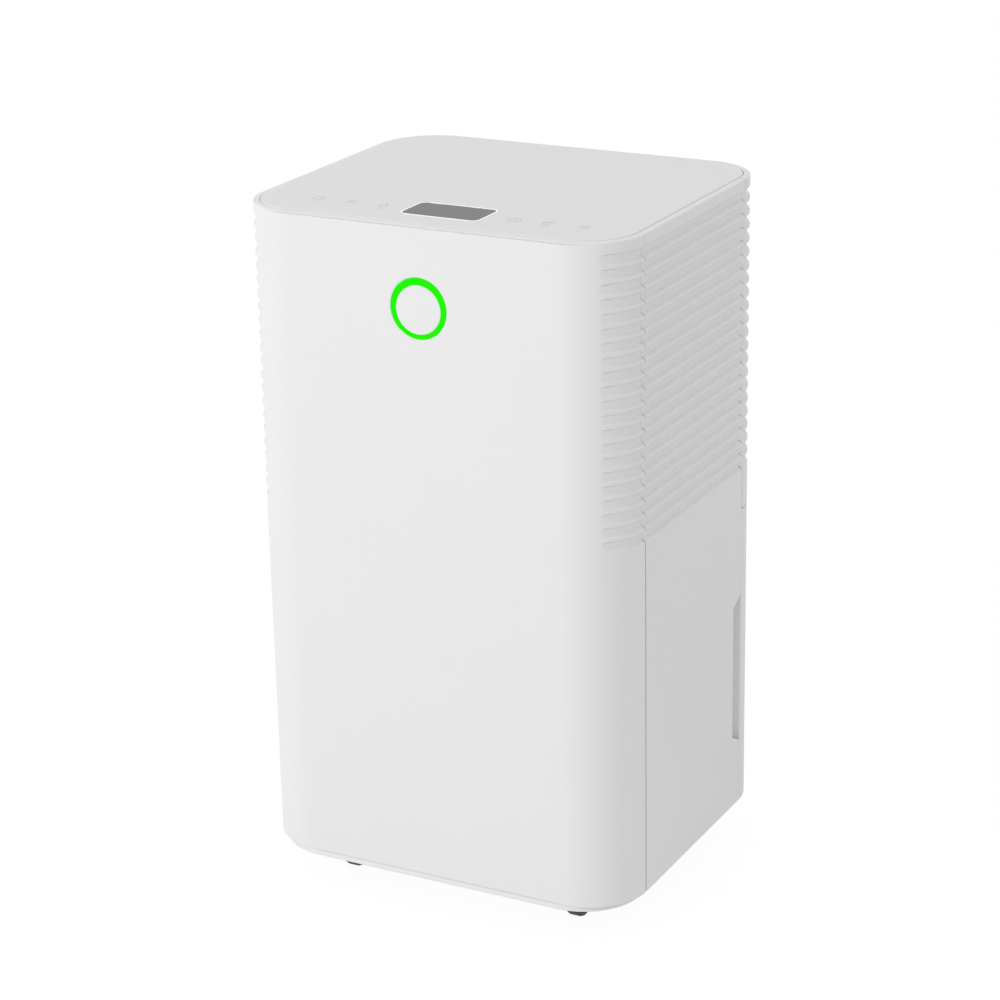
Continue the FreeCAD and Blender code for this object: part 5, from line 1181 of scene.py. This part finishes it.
add_piece("grille_moulding", grille_forms, shell_white, "grille", "white_shell", "intake_grille")
net_pitch = 0.0028
net_inset = 0.001
border_width = 0.0035
border_radius = 0.001
border_edge = 0.0003
strand_radius = 0.00028
net_grey = moulded("net_grey", (96, 100, 104), 0.7, bump=0.1, size=2500.0, tone=0.12)
net_middle = (net_low[1] + net_high[1]) / 2


def strand(ends, spot, level_run, lift):
    """One thread of the net: a thin square tube that weaves over and under by a cosine."""
    run = np.arange(ends[0], ends[1] + net_pitch / 2, net_pitch)
    depth = net_middle + lift * strand_radius * np.cos(np.pi * np.arange(len(run)))
    line = [run, depth, 0 * run + spot] if level_run else [0 * run + spot, depth, run]
    return sweep(np.stack(line, 1), strand_radius, 4)


span_x, span_z = ((net_low[axis] + net_inset, net_high[axis] - net_inset) for axis in (0, 2))
strands = [strand(ends, spot, level_run, (-1) ** (place + first))
           for ends, across, level_run, first in ((span_x, span_z, True, 0), (span_z, span_x, False, 1))
           for place, spot in enumerate(np.arange(*across, net_pitch))]
net_half = ((net_high[2] - net_low[2]) / 2, (net_high[0] - net_low[0]) / 2)
net_rims = [rear_outline(net_half, inset, border_radius, 3) for inset in (0, border_width)]
net_border = frame_ring(*net_rims, net_low[1], net_high[1], border_edge, 1)
add_piece("dust_net", strands, net_grey, "grille", "mesh_grey", "filter_mesh")
add_piece("net_border", [net_border], grey_plastic, "grille", "grey_plastic")

# Water tank: a drawer.  Its white face continues the body round both rear corners; the frosted
# reservoir behind it reaches in between the side panels and has two ears for the float.
tank_low, tank_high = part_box("water_tank")
lid_low, lid_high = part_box("tank_lid")
level_low, level_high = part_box("level_window")
reservoir_half = 0.141
tank_wall = 0.0028
tank_floor = 0.003
tank_radius = 0.0388
face_thickness = 0.003
reservoir_rear = half_depth - face_thickness
draft = 0.001
foot_radius = 0.004
rim_edge = 0.0004
face_gap = 0.0003
ledge_sunk = 0.0062
ledge_thickness = 0.002
ledge_spare = 0.002
ledge_reach = 0.003
ledge_radius = 0.001
ledge_edge = 0.0002
near_window = np.array([-0.0006, -0.0003, 0])
at_lid = np.array([-0.00005, 0.00005])
face_flat = np.concatenate([
    level_low[0] + near_window, level_high[0] - near_window, [-0.09, -0.045, 0, 0.045, 0.095],
])
place = wrapped(np.unique(np.round(face_flat, 6)), face_gap)
plain = np.concatenate([[0.05], level_low[2] + near_window, [0.12, 0.18], level_high[2] - near_window[::-1],
                        lid_low[2] + at_lid])
hem_inset = edge_radius * (1 - np.sin(rise_steps))
levels = np.concatenate([tank_low[2] + end_steps, plain, tank_high[2] - hem_inset])
inward = np.concatenate([hem_inset, 0 * plain, end_steps])
inward = round_ends(inward[None], place)
height = np.repeat(levels[None], len(place), 0)
place, cells = whole_grid(place, len(levels))
window_columns = [nearest(place[:, 0], edge) for edge in (level_low[0], level_high[0])]
window_rows = [nearest(levels, edge) for edge in (level_low[2], level_high[2])]
cells[window_columns[0]:window_columns[1], window_rows[0]:window_rows[1]] = False
outer = np.stack([*outline_points(place, corner_radius - inward, shell_arc), height], 2)
deep_radius = reservoir_rear - shell_arc[1]
at_reservoir = np.stack(outline_points(place, deep_radius, (reservoir_half - deep_radius, shell_arc[1])), 2)
at_rim = np.stack(outline_points(place, corner_radius - tank_wall, shell_arc), 2)
inner_xy = np.where((height < lid_low[2])[..., None], at_reservoir, at_rim)
inner_z = np.where(np.abs(height - lid_low[2]) < 2 * at_lid[1], lid_low[2], height)
face_forms = [wall(outer, np.concatenate([inner_xy, inner_z[..., None]], 2), cells)]
ledge_ends = (panel_rear - notch_reach - ledge_spare, shell_arc[1] + ledge_reach)
ledge_half = ((ledge_ends[1] - ledge_ends[0]) / 2, (notch_high - notch_low) / 2 + ledge_spare)
ledge = rounded_rectangle(*ledge_half, ledge_radius, 3, (sum(ledge_ends) / 2, (notch_low + notch_high) / 2))
for side in (-1, 1):
    faces = sorted(side * (half_width - ledge_sunk - reach) for reach in (0, ledge_thickness))
    face_forms.append(extrude(ledge, *faces, ledge_edge, 0, 1))
add_piece("tank_face", face_forms, shell_white, "tank", "white_shell", "water_tank")


reservoir_middle = (0, (tank_low[1] + reservoir_rear) / 2)


def tank_loop(inset, level, narrowing=0.0):
    """The reservoir's outline drawn in by an inset and by its draft, at a level."""
    half = (reservoir_half, (reservoir_rear - tank_low[1]) / 2)
    flat = rounded_rectangle(half[0] - inset - narrowing, half[1] - inset - narrowing, tank_radius - inset,
                             centre=reservoir_middle)
    return at_level(flat, level)


frosted = moulded("frosted_tank", (222, 228, 230), 0.38, bump=0.03, Transmission_Weight=0.35, IOR=1.45)
floor_level = tank_low[2] + tank_floor
swing = np.linspace(0, np.pi / 2, 6)
foot = [(foot_radius * (1 - np.sin(step)), foot_radius * (1 - np.cos(step))) for step in swing]
tank_rims = ((0, rim_edge), (rim_edge, 0), (tank_wall - rim_edge, 0), (tank_wall, rim_edge))
reservoir_loops = [tank_loop(inset, tank_low[2] + rise, draft) for inset, rise in foot]
reservoir_loops += [tank_loop(inset, lid_low[2] - sunk) for inset, sunk in tank_rims]
reservoir_loops += [tank_loop(tank_wall + rise, floor_level + inset, draft) for inset, rise in foot]
reservoir_tips = np.array([(*reservoir_middle, tank_low[2]), (*reservoir_middle, floor_level)])
reservoir_forms = [loft(np.array(reservoir_loops), reservoir_tips)]
pin_low, pin_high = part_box("float_pin")
ear_thickness = 0.003
ear = rounded([(-10, -4, 0), (4, -4, 3.9), (4, 4, 3.9), (-10, 4, 0)], closed=True, steps=10)
ear = ear + middle_of("float_pin")[1:]
for low in (pin_low[0], pin_high[0] - ear_thickness):
    reservoir_forms.append(extrude(ear, low, low + ear_thickness, rim_edge, 0, 2))
add_piece("tank_reservoir", reservoir_forms, frosted, "tank", "clear_tank", "water_tank")
dress(zinc_steel, 0.0002, "float_pin")

# Tank lid: a frosted plate that drops in the tank's rim, with a raised lip round its inlet.
inlet_half = 0.017
inlet_centre = (0, 0.08)
inlet_radius = 0.004
lip_width = 0.002
lid_gap = 0.0001
lid_thickness = 0.0021
lid_edge = 0.0005
lip_foot = 0.001
lid_half = (lid_high[0], (lid_high[1] - lid_low[1]) / 2)
lid_outline = rounded_rectangle(*lid_half, tank_radius, centre=(0, middle_of("tank_lid")[1]))
inlet_outline, lip_outline = (
    rounded_rectangle(inlet_half + width, inlet_half + width, inlet_radius + width, centre=inlet_centre)
    for width in (0, lip_width)
)
lid_face = lid_low[2] + lid_gap
lid_forms = [frame_ring(lid_outline, inlet_outline, lid_face, lid_face + lid_thickness, lid_edge),
             frame_ring(lip_outline, inlet_outline, lid_low[2] + lip_foot, lid_high[2], lid_edge)]
add_piece("lid_plate", lid_forms, frosted, "tank", "clear_tank", "tank_lid")

# Level window: a clear strip in the tank's face with five raised level marks.
clear = moulded("clear_strip", (214, 222, 226), 0.12, bump=0.01, tone=0.01,
                Transmission_Weight=0.7, IOR=1.45)
strip_radius = 0.0006
strip_edge = 0.0003
strip_sunk = 0.0004
mark_count = 5
mark_width = 0.0004
mark_lengths = (0.0042, 0.0024)
mark_radius = 0.0003
mark_faces = (level_high[1] - 0.0006, level_high[1] - 0.0001)
mark_edge = 0.0001
level_middle = middle_of("level_window")[[2, 0]]
level_half = ((level_high[2] - level_low[2]) / 2, (level_high[0] - level_low[0]) / 2)
level_outline = rounded_rectangle(*level_half, strip_radius, 4, level_middle)
strip_form = extrude(level_outline, level_low[1], level_high[1] - strip_sunk, strip_edge, 1)
add_piece("level_strip", [strip_form], clear, "tank", "clear_tank", "level_window")
marks = []
for mark in range(mark_count):
    spot = level_low[2] + (mark + 0.5) * (level_high[2] - level_low[2]) / mark_count
    bar = rounded_rectangle(mark_width, mark_lengths[mark % 2], mark_radius, 3, (spot, level_middle[1]))
    marks.append(extrude(bar, *mark_faces, mark_edge, 1, 1))
add_piece("level_marks", marks, plug_rubber, "tank", "dark_plastic")

# Float: a white block on two arms with a magnet in its top; the sensor above the tank reads it.
float_white = moulded("float_white", (236, 236, 232), 0.4)
dress(float_white, 0.0008, "float")
dress(zinc_steel, 0.0003, "float_magnet")
dress(solder_mask, 0.0001, "full_tank_sensor")

# Studio: a pale floor and backdrop, a soft lamp, and the camera.
floor_size = 12
floor_corners = [(x * floor_size, y * floor_size, 0) for x, y in ((-1, -1), (1, -1), (1, 1), (-1, 1))]
floor_mesh = bpy.data.meshes.new("floor")
floor_mesh.from_pydata(floor_corners, [], [(0, 1, 2, 3)])
floor = bpy.data.objects.new("floor", floor_mesh)
bpy.context.scene.collection.objects.link(floor)


def straight_rays(tree):
    """A mask of 1 for rays that the camera sends, and for those that gloss and glass send on."""
    rays = add_node(tree, "ShaderNodeLightPath").outputs
    first = sum_node(tree, "MAXIMUM", rays["Is Camera Ray"], rays["Is Glossy Ray"])
    return sum_node(tree, "MAXIMUM", first, rays["Is Transmission Ray"])


floor_white = bpy.data.materials.new("floor_white")
floor_white.use_nodes = True
tree = floor_white.node_tree
matt = tree.nodes["Principled BSDF"]
matt.inputs["Base Color"].default_value = (0.8, 0.8, 0.8, 1)
matt.inputs["Roughness"].default_value = 0.9
glow = add_node(tree, "ShaderNodeEmission", Strength=1.05)
share = sum_node(tree, "MULTIPLY", straight_rays(tree), 0.9)
mixed = add_node(tree, "ShaderNodeMixShader", _0=share, _1=matt.outputs[0], _2=glow.outputs[0])
tree.links.new(mixed.outputs[0], tree.nodes["Material Output"].inputs["Surface"])
floor_mesh.materials.append(floor_white)

world = bpy.data.worlds.new("studio")
bpy.context.scene.world = world
world.use_nodes = True
tree = world.node_tree
sky = tree.nodes["Background"]
sky.inputs["Color"].default_value = (1, 1, 1, 1)
sky.inputs["Strength"].default_value = 0.785
backdrop = add_node(tree, "ShaderNodeBackground", Color=(1, 1, 1, 1), Strength=1.0)
mixed = add_node(tree, "ShaderNodeMixShader", _0=straight_rays(tree), _1=sky.outputs[0],
                 _2=backdrop.outputs[0])
tree.links.new(mixed.outputs[0], tree.nodes["World Output"].inputs["Surface"])


def add_lamp(name, place, aim, size, power):
    """A square area lamp at a place, turned to face a point."""
    data = bpy.data.lights.new(name, "AREA")
    data.shape = "SQUARE"
    data.size = size
    data.energy = power
    lamp = bpy.data.objects.new(name, data)
    way = np.array(aim, float) - np.array(place, float)
    way /= np.linalg.norm(way)
    side = np.cross(way, (0, 0, 1))
    side /= np.linalg.norm(side)
    turned = np.eye(4)
    turned[:3, :3] = np.stack([side, np.cross(side, way), -way], 1)
    turned[:3, 3] = place
    lamp.matrix_world = Matrix(turned.tolist())
    bpy.context.scene.collection.objects.link(lamp)


add_lamp("key_lamp", (-1.9, -2.8, 1.5), (0, 0, 0.26), 2.0, 39)

camera_data = bpy.data.cameras.new("camera")
camera_data.lens = 103.34
camera_data.sensor_width = 36
camera = bpy.data.objects.new("camera", camera_data)
bpy.context.scene.collection.objects.link(camera)
camera.matrix_world = Matrix((
    (0.88561231, -0.14132011, 0.44240193, 0.932482),
    (0.46405074, 0.30751493, -0.83071745, -1.766920),
    (-0.01864811, 0.94099054, 0.33791871, 0.999578),
    (0, 0, 0, 1),
))
bpy.context.scene.camera = camera
bpy.context.scene.view_settings.view_transform = "Standard"
